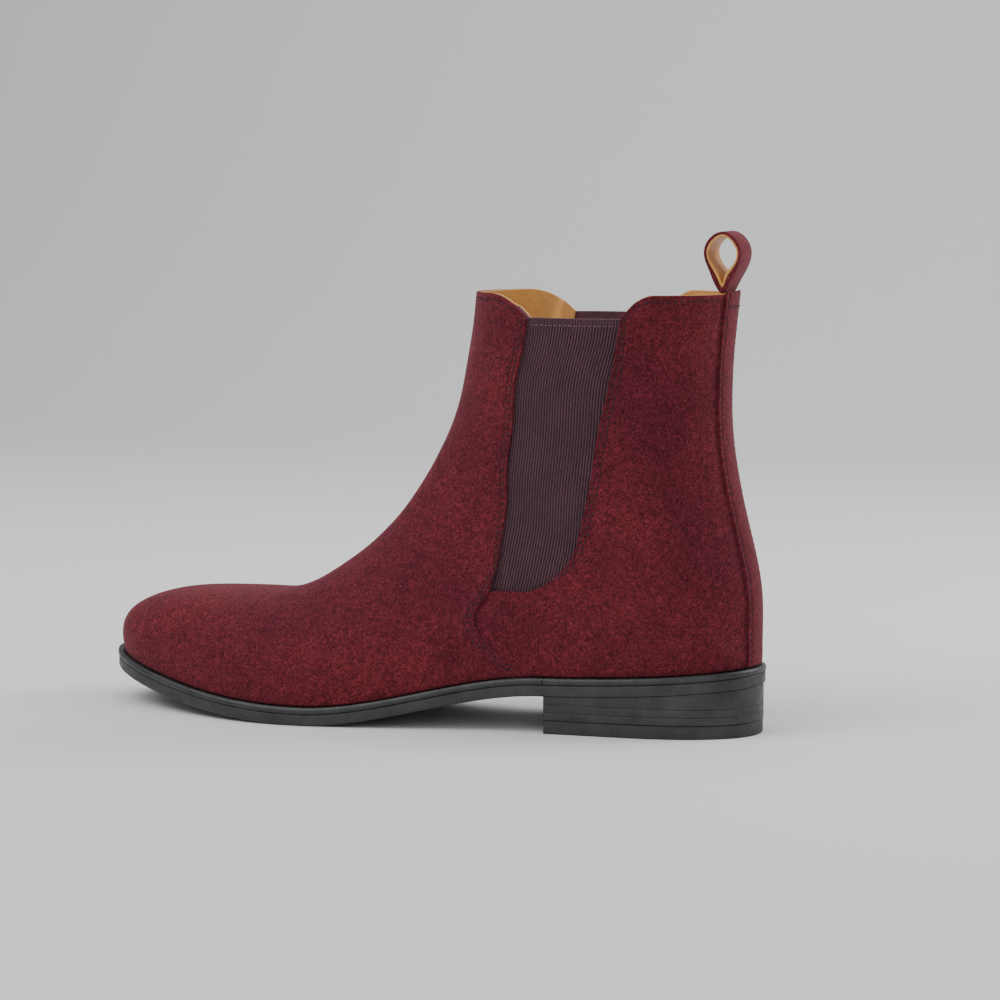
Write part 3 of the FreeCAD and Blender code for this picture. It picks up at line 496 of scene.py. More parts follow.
HOLD = {side: hold_curves(side) for side in (LATERAL, MEDIAL)}


def one_side(row, down, side):
    """Cubic curve with weights (1-d)^3, 3(1-d)^2 d, 3(1-d) d^2, d^3 of ridge, ridge moved
    sideways, hold point and foot."""
    foot_back, foot_half, foot_up = foot(row, side)
    hold_back, hold_half, hold_up = (curve(row) for curve in HOLD[side])
    left = 1.0 - down
    a, b, c, d = left**3, 3.0 * left**2 * down, 3.0 * left * down**2, down**3
    return np.stack([
        (a + b) * ridge_back(row) + c * hold_back + d * foot_back,
        b * ridge_reach(row) + c * hold_half + d * foot_half,
        (a + b) * ridge_up(row) + c * hold_up + d * foot_up,
    ], -1)


AXIS_BACK = 62.0 * MM
GORE_FRONT_TOP, GORE_REAR_TOP = 96.0 * MM, 54.0 * MM
GORE_DIP = 10.0 * MM


def topline(back):
    """The top edge: level, with a dip over the gore that rounds off as (1 - clear)^2."""
    clear = np.maximum((back - GORE_FRONT_TOP) / (20.0 * MM), (GORE_REAR_TOP - back) / (14.0 * MM))
    return HEIGHT - GORE_DIP * (1.0 - np.clip(clear, 0.0, 1.0)) ** 2


def solve(side, miss, start_row, start_down):
    """Newton's steps, on whole arrays, to the rows and downs where both misses vanish."""
    row, down = start_row.copy(), start_down.copy()
    step = 1e-4
    for _ in range(30):
        error = miss(one_side(row, down, side))
        row_step = np.where(row + step > LAST_ROW, -step, step)
        down_step = np.where(down + step > 1.0, -step, step)
        by_row = (miss(one_side(row + row_step, down, side)) - error) / row_step
        by_down = (miss(one_side(row, down + down_step, side)) - error) / down_step
        scale = by_row[0] * by_down[1] - by_row[1] * by_down[0]
        scale = np.where(np.abs(scale) < 1e-12, 1e-12, scale)
        move_row = (error[0] * by_down[1] - error[1] * by_down[0]) / scale
        move_down = (by_row[0] * error[1] - by_row[1] * error[0]) / scale
        limit = np.maximum(np.maximum(np.abs(move_row), np.abs(move_down) / 0.15), 1.0)
        row = np.clip(row - move_row / limit, 0.05, LAST_ROW)
        down = np.clip(down - move_down / limit, 0.0, 1.0)
    return row, down


coarse = np.meshgrid(np.arange(1.0, LAST_ROW + 0.1, 0.25), np.arange(1, 25) / 24.0, indexing="ij")
coarse_row, coarse_down = (values.ravel() for values in coarse)


def locate(side, miss_of):
    """Rows and downs of wanted points. miss_of(points, k) gives both misses for the k-th
    wanted ones; the nearest sample of a coarse grid starts each of them."""
    samples = one_side(coarse_row, coarse_down, side)
    miss, count = miss_of
    start = np.empty(count, int)
    for k in range(count):
        start[k] = np.argmin((miss(samples, k) ** 2).sum(0))
    every = np.arange(count)
    return solve(side, lambda points: miss(points, every), coarse_row[start], coarse_down[start])


def seen_from_side(side, back, up):
    """Row and down where the form is seen at a back distance and height."""
    back, up = np.atleast_1d(back).astype(float), np.atleast_1d(up).astype(float)

    def miss(points, k):
        """How far points lie from the k-th wanted place, along the foot and in height."""
        return np.stack([points[..., 0] - back[k], points[..., 2] - up[k]])

    return locate(side, (miss, len(back)))


AZIMUTHS, LEVELS = 91, 81


def shaft_table(side):
    """The form's distance from the shaft's axis over azimuth (0 front, 180 back) and level
    (0 feather, 1 topline), found by Newton's steps and blurred by a bell curve."""
    turns, rises = np.radians(np.linspace(0.0, 180.0, AZIMUTHS)), np.linspace(0.0, 1.0, LEVELS)
    azimuth, level = (values.ravel() for values in np.meshgrid(turns, rises, indexing="ij"))

    def miss(points, k):
        """How far points lie off the k-th azimuth's plane and off its level's height."""
        ahead, aside, up = points[..., 0] - AXIS_BACK, points[..., 1], points[..., 2]
        off = ahead * np.sin(azimuth[k]) - aside * np.cos(azimuth[k])
        off = off + np.where(ahead * np.cos(azimuth[k]) + aside * np.sin(azimuth[k]) < 0.0, 0.4, 0.0)
        back = points[..., 0]
        wanted = feather(back) * (1.0 - level[k]) + topline(back) * level[k]
        return np.stack([off, up - wanted - GAP * (1.0 - level[k])])

    row, down = locate(side, (miss, len(azimuth)))
    points = one_side(row, down, side)
    radius = np.hypot(points[:, 0] - AXIS_BACK, points[:, 1])
    return radius.reshape(AZIMUTHS, LEVELS)


TABLE = np.concatenate([shaft_table(LATERAL), shaft_table(MEDIAL)[-2:0:-1]])
bell = np.exp(-np.linspace(-2.0, 2.0, 9) ** 2)
bell /= bell.sum()
padded = np.concatenate([TABLE[-4:], TABLE, TABLE[:4]])
around = sum(w * padded[k:k + len(TABLE)] for k, w in enumerate(bell))
wide = np.pad(around, ((0, 0), (4, 4)), mode="reflect", reflect_type="odd")
softened = sum(w * wide[:, k:k + LEVELS] for k, w in enumerate(bell))
turning = 2.0 * np.minimum(np.arange(len(TABLE)), len(TABLE) - np.arange(len(TABLE)))
heel_share = rising(turning, 75.0, 40.0)[:, None]
TABLE = TABLE * (1.0 - heel_share) + softened * heel_share


def cubic_weights(t):
    """Catmull-Rom weights of the four neighbours at a share t between the inner two."""
    return (
        -0.5 * t + t**2 - 0.5 * t**3, 1.0 - 2.5 * t**2 + 1.5 * t**3,
        0.5 * t + 2.0 * t**2 - 1.5 * t**3, -0.5 * t**2 + 0.5 * t**3,
    )


def shaft(azimuth, level):
    """The shaft's surface at azimuths in degrees and levels, cubic between the table's
    places: each of four neighbours a side has its Catmull-Rom weight."""
    place = np.mod(azimuth, 360.0) / 2.0
    height = np.clip(level, 0.0, 1.0) * (LEVELS - 1)
    first = np.floor(place).astype(int)
    below = np.minimum(np.floor(height).astype(int), LEVELS - 2)
    a, b = place - first, height - below
    radius = 0.0
    for i, along in enumerate(cubic_weights(a)):
        for j, upward in enumerate(cubic_weights(b)):
            low = np.clip(below + j - 1, 0, LEVELS - 1)
            radius = radius + along * upward * TABLE[np.mod(first + i - 1, len(TABLE)), low]
    angle = np.radians(azimuth)
    back = AXIS_BACK + radius * np.cos(angle)
    up = (feather(back) + GAP) * (1.0 - level) + topline(back) * level
    return np.stack([back, radius * np.sin(angle), up], -1)


def unit(vectors):
    """The vectors divided by their lengths."""
    return vectors / np.maximum(np.linalg.norm(vectors, axis=-1, keepdims=True), 1e-15)


def shaft_normal(azimuth, level):
    """Unit normals of the shaft: the cross product of its small steps in turn and rise."""
    by_turn = shaft(azimuth + 0.5, level) - shaft(azimuth - 0.5, level)
    by_rise = shaft(azimuth, np.minimum(level + 0.004, 1.0)) - shaft(azimuth, np.maximum(level - 0.004, 0.0))
    return unit(np.cross(by_turn, by_rise))


def shaft_place(side, back, up):
    """Azimuth and level of the form's points seen from the side."""
    row, down = seen_from_side(side, back, up)
    points = one_side(row, down, side)
    azimuth = np.degrees(np.arctan2(points[:, 1], points[:, 0] - AXIS_BACK))
    low, high = feather(points[:, 0]), topline(points[:, 0])
    return azimuth, np.clip((points[:, 2] - low) / (high - low), 0.0, 1.0)


def outward(grid):
    """Unit normals of a grid of points, the cross product of its central differences,
    turned away from a line down the middle of the shaft and foot."""
    normal = unit(np.cross(np.gradient(grid, axis=0), np.gradient(grid, axis=1)))
    away = grid.copy()
    away[..., 0] -= np.clip(grid[..., 0], AXIS_BACK, 230.0 * MM)
    away[..., 2] -= np.minimum(grid[..., 2], 30.0 * MM)
    return normal * np.sign((normal * away).sum())


def leather(name, grid, normal, top, bottom, material, body, replaces=(), kept=None, shade=None):
    """A sheet of leather between two depths under a grid of points, with its cut edge
    rounded: both faces' borders are drawn in toward the middle of their cells, and three
    loops make a half round between them. kept marks the cells that belong to it."""
    rows_count, columns = grid.shape[:2]
    count = rows_count * columns
    top, bottom = (np.broadcast_to(depth, grid.shape[:2]).ravel() for depth in (top, bottom))
    flat, facing = grid.reshape(-1, 3), normal.reshape(-1, 3)
    corner = np.arange(count).reshape(rows_count, columns)[:-1, :-1]
    corner = corner.ravel() if kept is None else corner[kept]
    quads = np.stack([corner, corner + 1, corner + columns + 1, corner + columns], 1)
    starts, ends = quads.ravel(), np.roll(quads, -1, 1).ravel()
    alone = ~np.isin(starts * count + ends, ends * count + starts)
    border, after = starts[alone], ends[alone]
    place = np.full(count, -1)
    place[border] = np.arange(len(border))
    following = place[after]
    inward, shared = np.zeros((count, 3)), np.zeros(count)
    np.add.at(inward, quads.ravel(), np.repeat(flat[quads].mean(1), 4, 0))
    np.add.at(shared, quads.ravel(), 1.0)
    way = inward[border] / shared[border][:, None] - flat[border]
    length = np.maximum(np.linalg.norm(way, axis=1, keepdims=True), 1e-9)
    thick = (bottom - top)[border][:, None]
    pull = way / length * np.minimum(0.4 * thick, 0.7 * length)

    def at(share, drawn):
        """A loop of the edge at a share of the thickness, drawn in by a share of pull."""
        return flat[border] + pull * drawn - facing[border] * (top[border][:, None] + thick * share)

    upper, lower = flat - facing * top[:, None], flat - facing * bottom[:, None]
    upper[border], lower[border] = at(0.0, 1.0), at(1.0, 1.0)
    loops = [at(0.14, 0.3), at(0.5, 0.0), at(0.86, 0.3)]
    faces = [quads, quads[:, ::-1] + count]
    between = [2 * count + k * len(border) + np.arange(len(border)) for k in range(3)]
    chain = [border, *between, border + count]
    for first, second in zip(chain, chain[1:]):
        faces.append(np.stack([first, second, second[following], first[following]], 1))
    points, faces = np.concatenate([upper, lower] + loops), np.concatenate(faces)
    used, faces = np.unique(faces, return_inverse=True)
    if shade is not None:
        shade = np.concatenate([shade.ravel(), np.ones(len(points) - count)])[used]
    return piece(name, points[used], faces.reshape(-1, 4), material, body, replaces, shade)


# ------------------------------------------------------------------ vamp and shaft front
# One piece of burgundy suede runs from the toe up the front of the shaft. It is lasted
# under the insole and lies over the quarters at the side seams.

SUEDE = 1.4 * MM
HINGE = (114.0 * MM, 59.0 * MM)
SIDE_SEAM = np.array([(97.0, 24.3), (106.0, 31.5), (115.0, 39.0), (119.0, 46.0), (118.0, 53.0)]) * MM
GORE_FRONT = np.array([
    (113.5, 60.5), (109.5, 87.0), (108.0, 104.0), (105.0, 130.0),
    (102.0, 153.0), (98.0, 166.0), (96.0, 177.0),
]) * MM


def suede(name, deep, warm, nap):
    """Napped suede: two burgundies drift into each other, darker strokes where the nap
    lies down, a fine speckle of fibres, soft sheen, and a bumpy velvet surface."""
    material, tree, shader = nodes_of(name)
    broad = ramp(tree, noise(tree, 22.0, 3.0, 0.5), (0.32, deep), (0.68, warm))
    brushed = noise(tree, 95.0, 5.0, 0.6, (1.0, 1.0, 0.55))
    strokes = ramp(tree, brushed, (0.28, (0.86,) * 3), (0.66, (1.06,) * 3))
    mottled = multiplied(tree, broad, strokes)
    clumps = ramp(tree, noise(tree, nap * 0.35, 4.0, 0.6), (0.34, (0.74,) * 3), (0.68, (1.22,) * 3))
    clumped = multiplied(tree, mottled, clumps)
    fibre = noise(tree, nap, 5.0, 0.75)
    speck = ramp(tree, fibre, (0.35, (0.32, 0.3, 0.32)), (0.5, (0.95,) * 3), (0.68, (2.1, 2.3, 2.3)))
    tree.links.new(multiplied(tree, clumped, speck), shader.inputs["Base Color"])
    shader.inputs["Roughness"].default_value = 0.96
    shader.inputs["Specular IOR Level"].default_value = 0.18
    shader.inputs["Sheen Weight"].default_value = 0.2
    shader.inputs["Sheen Roughness"].default_value = 0.4
    shader.inputs["Sheen Tint"].default_value = (0.9, 0.38, 0.44, 1.0)
    hollows, tufts = noise(tree, 95.0, 4.0), noise(tree, nap * 0.4, 4.0)
    bumps(tree, shader, (hollows, 0.25, 0.0012), (tufts, 0.5, 0.0005), (fibre, 0.8, 0.00035))
    return material


burgundy = suede("burgundy_suede", (0.094, 0.0105, 0.0185), (0.122, 0.0145, 0.0205), 1150.0)


def way_along(points):
    """Each point's way from the first one, down the line of points."""
    return np.concatenate([[0.0], np.cumsum(np.linalg.norm(np.diff(points, axis=0), axis=1))])


def vamp_seam(side):
    """The vamp's rear edge from the ridge over the hinge corner to the feather, as rows
    over the way down; then row and down of the gore's front edge over its share."""
    back = np.concatenate([[HINGE[0] + 28.0 * MM, HINGE[0]], SIDE_SEAM[:0:-1, 0]])
    up = np.concatenate([[HINGE[1] + 19.0 * MM, HINGE[1]], SIDE_SEAM[:0:-1, 1]])
    row, down = seen_from_side(side, back, up)
    feather_rows = np.linspace(9.0, 13.0, 801)
    nearest = np.argmin(np.abs(one_side(feather_rows, np.ones(801), side)[:, 0] - SIDE_SEAM[0, 0]))
    stations = [(0.0, 11.4)] + list(zip(down, row)) + [(1.0, feather_rows[nearest])]
    edge = np.concatenate([[HINGE], GORE_FRONT])
    edge_row, edge_down = seen_from_side(side, edge[:, 0], edge[:, 1])
    run = way_along(edge)
    run /= run[-1]
    row_over_run, down_over_run = (through(list(zip(run, line))) for line in (edge_row, edge_down))
    return through(sorted(stations)), down[1], row_over_run, down_over_run


def closer(count, near_count, near):
    """Shares from 0 to 1 in even steps, but in finer ones over the last bit."""
    wide_steps, fine_steps = np.linspace(0.0, 1.0 - near, count), np.linspace(1.0 - near, 1.0, near_count + 1)
    return np.concatenate([wide_steps, fine_steps[1:]])


FOREPART, SHAFT_LINES = closer(120, 16, 0.05), closer(84, 18, 0.06)[1:]
INNER, OUTER = closer(36, 14, 0.16), np.linspace(0.0, 1.0, 25)[1:]
CORNER = len(INNER) - 1


def vamp_side(side):
    """Places of one side, from ridge to foot in columns. The forepart's lines run from
    the toe to the rear edge; past it the inner columns go on up to the topline."""
    seam, corner_down, edge_row, edge_down = vamp_seam(side)
    down = np.concatenate([corner_down * INNER, corner_down + (1.0 - corner_down) * OUTER])
    toe = 0.02
    low_row = toe + (seam(down)[None, :] - toe) * FOREPART[:, None]
    low_down = np.broadcast_to(down, low_row.shape)
    share, out = SHAFT_LINES[:, None], INNER[None, :]
    ridge = seam(0.0) + (LAST_ROW - seam(0.0)) * share
    sag = seam(corner_down * out) - seam(0.0) * (1.0 - out) - seam(corner_down) * out
    fading = sag * (1.0 - share) ** 2
    high_row = np.minimum(ridge * (1.0 - out) + edge_row(share) * out + fading, LAST_ROW)
    high_down = np.clip(edge_down(share), 0.0, 1.0) * out
    spare = np.broadcast_to(high_row[:, -1:], (len(SHAFT_LINES), len(OUTER)))
    row = np.concatenate([low_row, np.concatenate([high_row, spare], 1)])
    spare = np.broadcast_to(high_down[:, -1:], spare.shape)
    down = np.concatenate([low_down, np.concatenate([high_down, spare], 1)])
    points = one_side(row, down, side)
    step = 2e-3
    after, before = np.minimum(row + step, LAST_ROW), np.maximum(row - step, 0.0)
    by_row = one_side(after, down, side) - one_side(before, down, side)
    lower, upper = np.minimum(down + step, 1.0), np.maximum(down - step, 0.0)
    by_down = one_side(row, lower, side) - one_side(row, upper, side)
    wide = np.pad(unit(np.cross(by_down, by_row)), ((1, 1), (1, 1), (0, 0)), mode="edge")
    normal = unit(wide[1:-1, 1:-1] + wide[:-2, 1:-1] + wide[2:, 1:-1] + wide[1:-1, :-2] + wide[1:-1, 2:])
    azimuth, _ = shaft_place(side, GORE_FRONT[-1:, 0], GORE_FRONT[-1:, 1])
    top = shaft(side * azimuth[0] * INNER, np.ones(len(INNER))) * np.array([1.0, side, 1.0])
    lift = rising(SHAFT_LINES, 0.86, 0.14)[:, None, None] ** 2
    points[len(FOREPART):, :len(INNER)] += lift * (top - points[-1, :len(INNER)])[None]
    return points * np.array([1.0, side, 1.0]), normal * np.array([1.0, side, 1.0])


def vamp_grid():
    """Both sides joined along the ridge, with the cells of the piece marked."""
    (outer, outer_normal), (inner, inner_normal) = vamp_side(LATERAL), vamp_side(MEDIAL)
    grid = np.concatenate([inner[:, :0:-1], outer], 1)
    normal = np.concatenate([inner_normal[:, :0:-1], outer_normal], 1)
    middle = outer.shape[1] - 1
    column = np.abs(np.arange(grid.shape[1] - 1) + 0.5 - middle)
    kept = np.ones((grid.shape[0] - 1, grid.shape[1] - 1), bool)
    kept[len(FOREPART) - 1:] = column < CORNER
    return grid, normal, kept, middle


vamp_points, vamp_normals, vamp_cells, RIDGE = vamp_grid()
SEAM_LINE = len(FOREPART) - 1
INSTEP = Vector((-0.0375, 0.0, 0.059))
CREASE = Vector((-0.688, 0.0, 0.725))
FRONT_BEND = ("root", "shaft_front", INSTEP - 9.0 * MM * CREASE, INSTEP + 15.0 * MM * CREASE)


def edge_distance(grid, axis, last):
    """Each point's way along its line to the grid's edge."""
    lines = np.moveaxis(grid, axis, 0)
    lines = lines[::-1] if last else lines
    steps = np.linalg.norm(np.diff(lines, axis=0), axis=-1)
    run = np.concatenate([np.zeros((1, lines.shape[1])), np.cumsum(steps, axis=0)])
    run = run[::-1] if last else run
    return np.moveaxis(run, 0, axis)


def beside(values, distance, wanted, axis):
    """The points of a grid that lie a wanted distance from an edge, one on each line."""
    lines, runs = np.moveaxis(values, axis, 1), np.moveaxis(distance, axis, 1)
    made = []
    for line, run in zip(lines, runs):
        order = np.argsort(run)
        made.append([np.interp(wanted, run[order], line[order, k]) for k in range(3)])
    return np.array(made)


def dent(distance, places, depth=0.34 * MM, width=0.6 * MM):
    """Needle channels: depth * exp(-((distance - place) / width)^2), summed."""
    return sum(depth * np.exp(-((distance - place) / width) ** 2) for place in places)


def waves(grid, height):
    """Slow unevenness of lasted suede: products of sines of the three coordinates."""
    x, y, z = np.moveaxis(grid, -1, 0) / MM
    slow = np.sin(x / 9.1 + z / 13.0) * np.sin(z / 8.3 - y / 11.0)
    return height * (slow + 0.6 * np.sin(x / 4.7 - y / 6.1 + 1.3) * np.sin(z / 5.3 + 0.4))


def stitches(name, path, normal, material, body, slot, pitch=3.0 * MM, thick=0.62 * MM):
    """A row of thread on a path. A stitch is 0.78 of the pitch long; along t from 0 to 1
    its radius is thick/2 * (1-(2t-1)^4)^0.5 and it rises as 0.3 mm * sin(pi t)."""
    run = way_along(path)
    starts = np.arange(0.4 * pitch, run[-1] - pitch, pitch)[:, None]
    share = np.linspace(0.0, 1.0, 8)
    places = starts + 0.78 * pitch * share

    def along(values):
        """The values of the path read at every ring of every stitch."""
        return np.stack([np.interp(places, run, values[:, k]) for k in range(3)], -1)

    middle, up = along(path), unit(along(normal))
    ahead = unit(np.gradient(middle, axis=1))
    aside = np.cross(ahead, up)
    radius = thick / 2.0 * np.sqrt(1.0 - (2.0 * share - 1.0) ** 4)
    middle = middle + up * (0.3 * MM * np.sin(math.pi * share) - 0.12 * MM)[None, :, None]
    turn = np.linspace(0.0, 2.0 * math.pi, 7)[:-1]
    ring = aside[:, :, None] * np.cos(turn)[:, None] + up[:, :, None] * np.sin(turn)[:, None]
    points = middle[:, :, None] + ring * radius[None, :, None, None]
    count = len(share) * len(turn)
    faces = tube_faces(len(share), len(turn))
    every = np.arange(len(starts))[:, None, None] * count + faces[None]
    piece(name, points, every.reshape(-1, 4), material, body)


def sew(name, surface, normal, run, wanted, axis, body):
    """A row of dark stitches a wanted way from the edge that run is measured from."""
    path, facing = (beside(values, run, wanted, axis) for values in (surface, normal))
    stitches(name, path, facing, thread_dark, body, "burgundy_suede")


thread_dark, thread_tree, thread_shader = nodes_of("burgundy_thread")
fibres = noise(thread_tree, 1800.0, 3.0)
twist = ramp(thread_tree, fibres, (0.35, (0.012, 0.003, 0.005)), (0.65, (0.045, 0.009, 0.013)))
thread_tree.links.new(twist, thread_shader.inputs["Base Color"])
thread_shader.inputs["Roughness"].default_value = 0.75

SEAM_STITCHES = (1.9 * MM, 4.1 * MM)
TOP_STITCH = 2.6 * MM
FAR = 1.0


def vamp_runs():
    """Each point's way to the rear edge at the seam or to the gore's edge, whichever is
    nearer, and to the topline; far off it is one metre."""
    lines, columns = vamp_points.shape[:2]
    inner_left, inner_right = RIDGE - CORNER, RIDGE + CORNER
    gore = np.full((lines, columns), FAR)
    block = vamp_points[SEAM_LINE:, inner_left:inner_right + 1]
    nearer = np.minimum(edge_distance(block, 1, False), edge_distance(block, 1, True))
    gore[SEAM_LINE:, inner_left:inner_right + 1] = nearer
    seam = np.full((lines, columns), FAR)
    run = edge_distance(vamp_points[:SEAM_LINE + 1], 0, True)
    seam[:SEAM_LINE + 1, :inner_left + 1] = run[:, :inner_left + 1]
    seam[:SEAM_LINE + 1, inner_right:] = run[:, inner_right:]
    corner = vamp_points[SEAM_LINE, [inner_left, inner_right]]
    round_corner = np.linalg.norm(vamp_points[:, :, None] - corner, axis=-1).min(-1)
    inside = (np.arange(lines)[:, None] <= SEAM_LINE) & (np.abs(np.arange(columns) - RIDGE) <= CORNER)
    to_edge = np.minimum(np.where(inside, round_corner, FAR), np.minimum(gore, seam))
    return to_edge, edge_distance(vamp_points, 0, True)


vamp_edge_run, vamp_top_run = vamp_runs()
over_seam = 1.0 - rising(vamp_points[..., 2], HINGE[1] + 6.0 * MM, 12.0 * MM)
over_seam = over_seam * rising(vamp_points[..., 0], 60.0 * MM, 10.0 * MM)
vamp_lift = 1.3 * MM * over_seam * (1.0 - rising(vamp_edge_run, 5.0 * MM, 7.0 * MM)) ** 2
vamp_depth = waves(vamp_points, 0.11 * MM) - vamp_lift
vamp_depth = vamp_depth + dent(vamp_edge_run, SEAM_STITCHES) + dent(vamp_top_run, (TOP_STITCH,))
leather(
    "vamp_suede", vamp_points, vamp_normals, vamp_depth, vamp_depth + SUEDE,
    burgundy, FRONT_BEND, ("vamp", "instep_break", "front_shaft"), vamp_cells,
)
vamp_surface = vamp_points - vamp_normals * vamp_depth[..., None]
for side_name, gore_part, seam_part, last in (
    ("medial", slice(RIDGE - CORNER, RIDGE), slice(0, RIDGE - CORNER), False),
    ("lateral", slice(RIDGE + 1, RIDGE + CORNER + 1), slice(RIDGE + CORNER + 1, None), True),
):
    seam_run = edge_distance(vamp_points[:SEAM_LINE + 1, seam_part], 0, True)
    gore_run = edge_distance(vamp_points[SEAM_LINE + 1:, gore_part], 1, last)
    for number, away in enumerate(SEAM_STITCHES):
        rows_of = []
        for values in (vamp_surface, vamp_normals):
            low = beside(values[:SEAM_LINE + 1, seam_part], seam_run, away, 0)
            high = beside(values[SEAM_LINE + 1:, gore_part], gore_run, away, 1)
            rows_of.append(np.concatenate([low[::-1] if last else low, high[3 + number:]]))
        stitches(f"vamp_stitch_{side_name}_{number + 1}", *rows_of, thread_dark, FRONT_BEND, "burgundy_suede")
above_seam = (slice(SEAM_LINE, None), slice(RIDGE - CORNER + 6, RIDGE + CORNER - 5))
sew(
    "front_top_stitch", vamp_surface[above_seam], vamp_normals[above_seam], vamp_top_run[above_seam],
    TOP_STITCH, 0, "shaft_front",
)

# ------------------------------------------------------------------ front lining
# Tan calf lining glued behind the vamp and shaft front. Its cut edge shows as a bright
# line along the topline.

LINING = 1.0 * MM


def smooth_leather(name, dark, light, roughness):
    """Smooth dyed calf: slow colour drift, darker pores, fine creases, a soft polish."""
    material, tree, shader = nodes_of(name)
    broad = ramp(tree, noise(tree, 35.0, 4.0), (0.32, dark), (0.7, light))
    pores = ramp(tree, noise(tree, 1400.0, 3.0, 0.6), (0.36, (0.78,) * 3), (0.55, (1.04,) * 3))
    tree.links.new(multiplied(tree, broad, pores), shader.inputs["Base Color"])
    shine = ramp(tree, noise(tree, 180.0, 3.0), (0.3, (roughness - 0.08,) * 3), (0.7, (roughness + 0.1,) * 3))
    tree.links.new(shine, shader.inputs["Roughness"])
    cells = tree.nodes.new("ShaderNodeTexVoronoi")
    cells.feature = "DISTANCE_TO_EDGE"
    cells.inputs["Scale"].default_value = 900.0
    spot = tree.nodes.new("ShaderNodeTexCoord")
    tree.links.new(spot.outputs["Object"], cells.inputs["Vector"])
    bumps(tree, shader, (noise(tree, 120.0, 4.0), 0.2, 0.0005), (cells.outputs["Distance"], 0.3, 0.00015))
    return material


def inner_level(grid, run):
    """Depth of the lining: just under the suede on the shaft, deeper over the foot where
    the stiffeners lie between, and under the elastic along the gore's edges."""
    foot_share = 1.0 - rising(grid[..., 2], 58.0 * MM, 12.0 * MM)
    beside_gore = (1.0 - rising(run, 7.0 * MM, 3.0 * MM)) * rising(grid[..., 2], 46.0 * MM, 5.0 * MM)
    return 1.55 * MM + np.maximum(1.0 * MM * foot_share, 1.65 * MM * beside_gore)


tan_calf = smooth_leather("tan_calf", (0.5, 0.22, 0.045), (0.66, 0.32, 0.075), 0.5)
inner_depth = inner_level(vamp_points, vamp_edge_run)
leather(
    "front_lining_calf", vamp_points, vamp_normals, inner_depth, inner_depth + LINING, tan_calf, FRONT_BEND,
    ("vamp_lining", "instep_break_lining", "front_shaft_lining"), vamp_cells,
)

# ------------------------------------------------------------------ quarters
# Two rear pieces of the same suede meet under the back strip. Their front edges pass
# beneath the vamp at the side seam and are stitched over the gore's rear edge.

GORE_REAR = np.array([
    (101.0, 60.0), (84.0, 67.0), (73.0, 87.0), (69.0, 104.0),
    (64.5, 130.0), (58.5, 153.0), (56.0, 166.0), (54.0, 177.0),
]) * MM
UNDER_SEAM = np.array([(101.0, 25.2), (111.0, 32.5), (119.5, 40.0), (123.0, 46.5), (120.0, 56.0)]) * MM
QUARTER_SHARES = np.concatenate([np.linspace(0.0, 0.96, 190), np.linspace(0.96, 1.0, 22)[1:]])
QUARTER_ACROSS = np.concatenate([np.linspace(0.0, 0.12, 28), np.linspace(0.12, 1.0, 100)[1:]])


def quarter_grid(side):
    """Places from the front edge (0) to the middle of the back (1), between the feather
    and the topline: azimuth and level go straight from one edge to the other."""
    edge = np.concatenate([UNDER_SEAM, GORE_REAR])
    azimuth, rise = shaft_place(side, edge[:, 0], edge[:, 1])
    rise[0], rise[-1] = 0.0, 1.0
    run = way_along(edge) / way_along(edge)[-1]
    front_azimuth, front_rise = (through(list(zip(run, line))) for line in (azimuth, rise))
    share, across = QUARTER_SHARES[:, None], QUARTER_ACROSS[None, :]
    turned = side * (front_azimuth(share) * (1.0 - across) + 180.0 * across)
    height = np.clip(front_rise(share), 0.0, 1.0) * (1.0 - across) + share * across
    return shaft(turned, height), shaft_normal(turned, height)


for side, side_name in ((LATERAL, "lateral"), (MEDIAL, "medial")):
    grid, normal = quarter_grid(side)
    front_run, top_run = edge_distance(grid, 1, False), edge_distance(grid, 0, True)
    above = rising(QUARTER_SHARES, 0.36, 0.03)[:, None]
    depth = waves(grid, 0.1 * MM) + above * dent(front_run, SEAM_STITCHES) + dent(top_run, (TOP_STITCH,))
    leather(
        f"quarter_suede_{side_name}", grid, normal, depth, depth + SUEDE,
        burgundy, "root", (f"quarter_{side_name}",),
    )
    surface = grid - normal * depth[..., None]
    on = QUARTER_SHARES >= 0.38
    for number, away in enumerate(SEAM_STITCHES):
        name = f"quarter_stitch_{side_name}_{number + 1}"
        sew(name, surface[on], normal[on], front_run[on], away, 1, "root")
    on = (slice(None), slice(3, -22))
    name = f"quarter_top_stitch_{side_name}"
    sew(name, surface[on], normal[on], top_run[on], TOP_STITCH, 0, "root")
    inner_depth = inner_level(grid, front_run)
    leather(
        f"quarter_calf_{side_name}", grid, normal, inner_depth, inner_depth + LINING,
        tan_calf, "root", (f"quarter_lining_{side_name}",),
    )

# ------------------------------------------------------------------ gores
# Ribbed elastic, dark plum, sewn under the shaft front and the quarter. Fine ribs run
# beside the front edge, and its top is folded over and stitched with a paler thread.

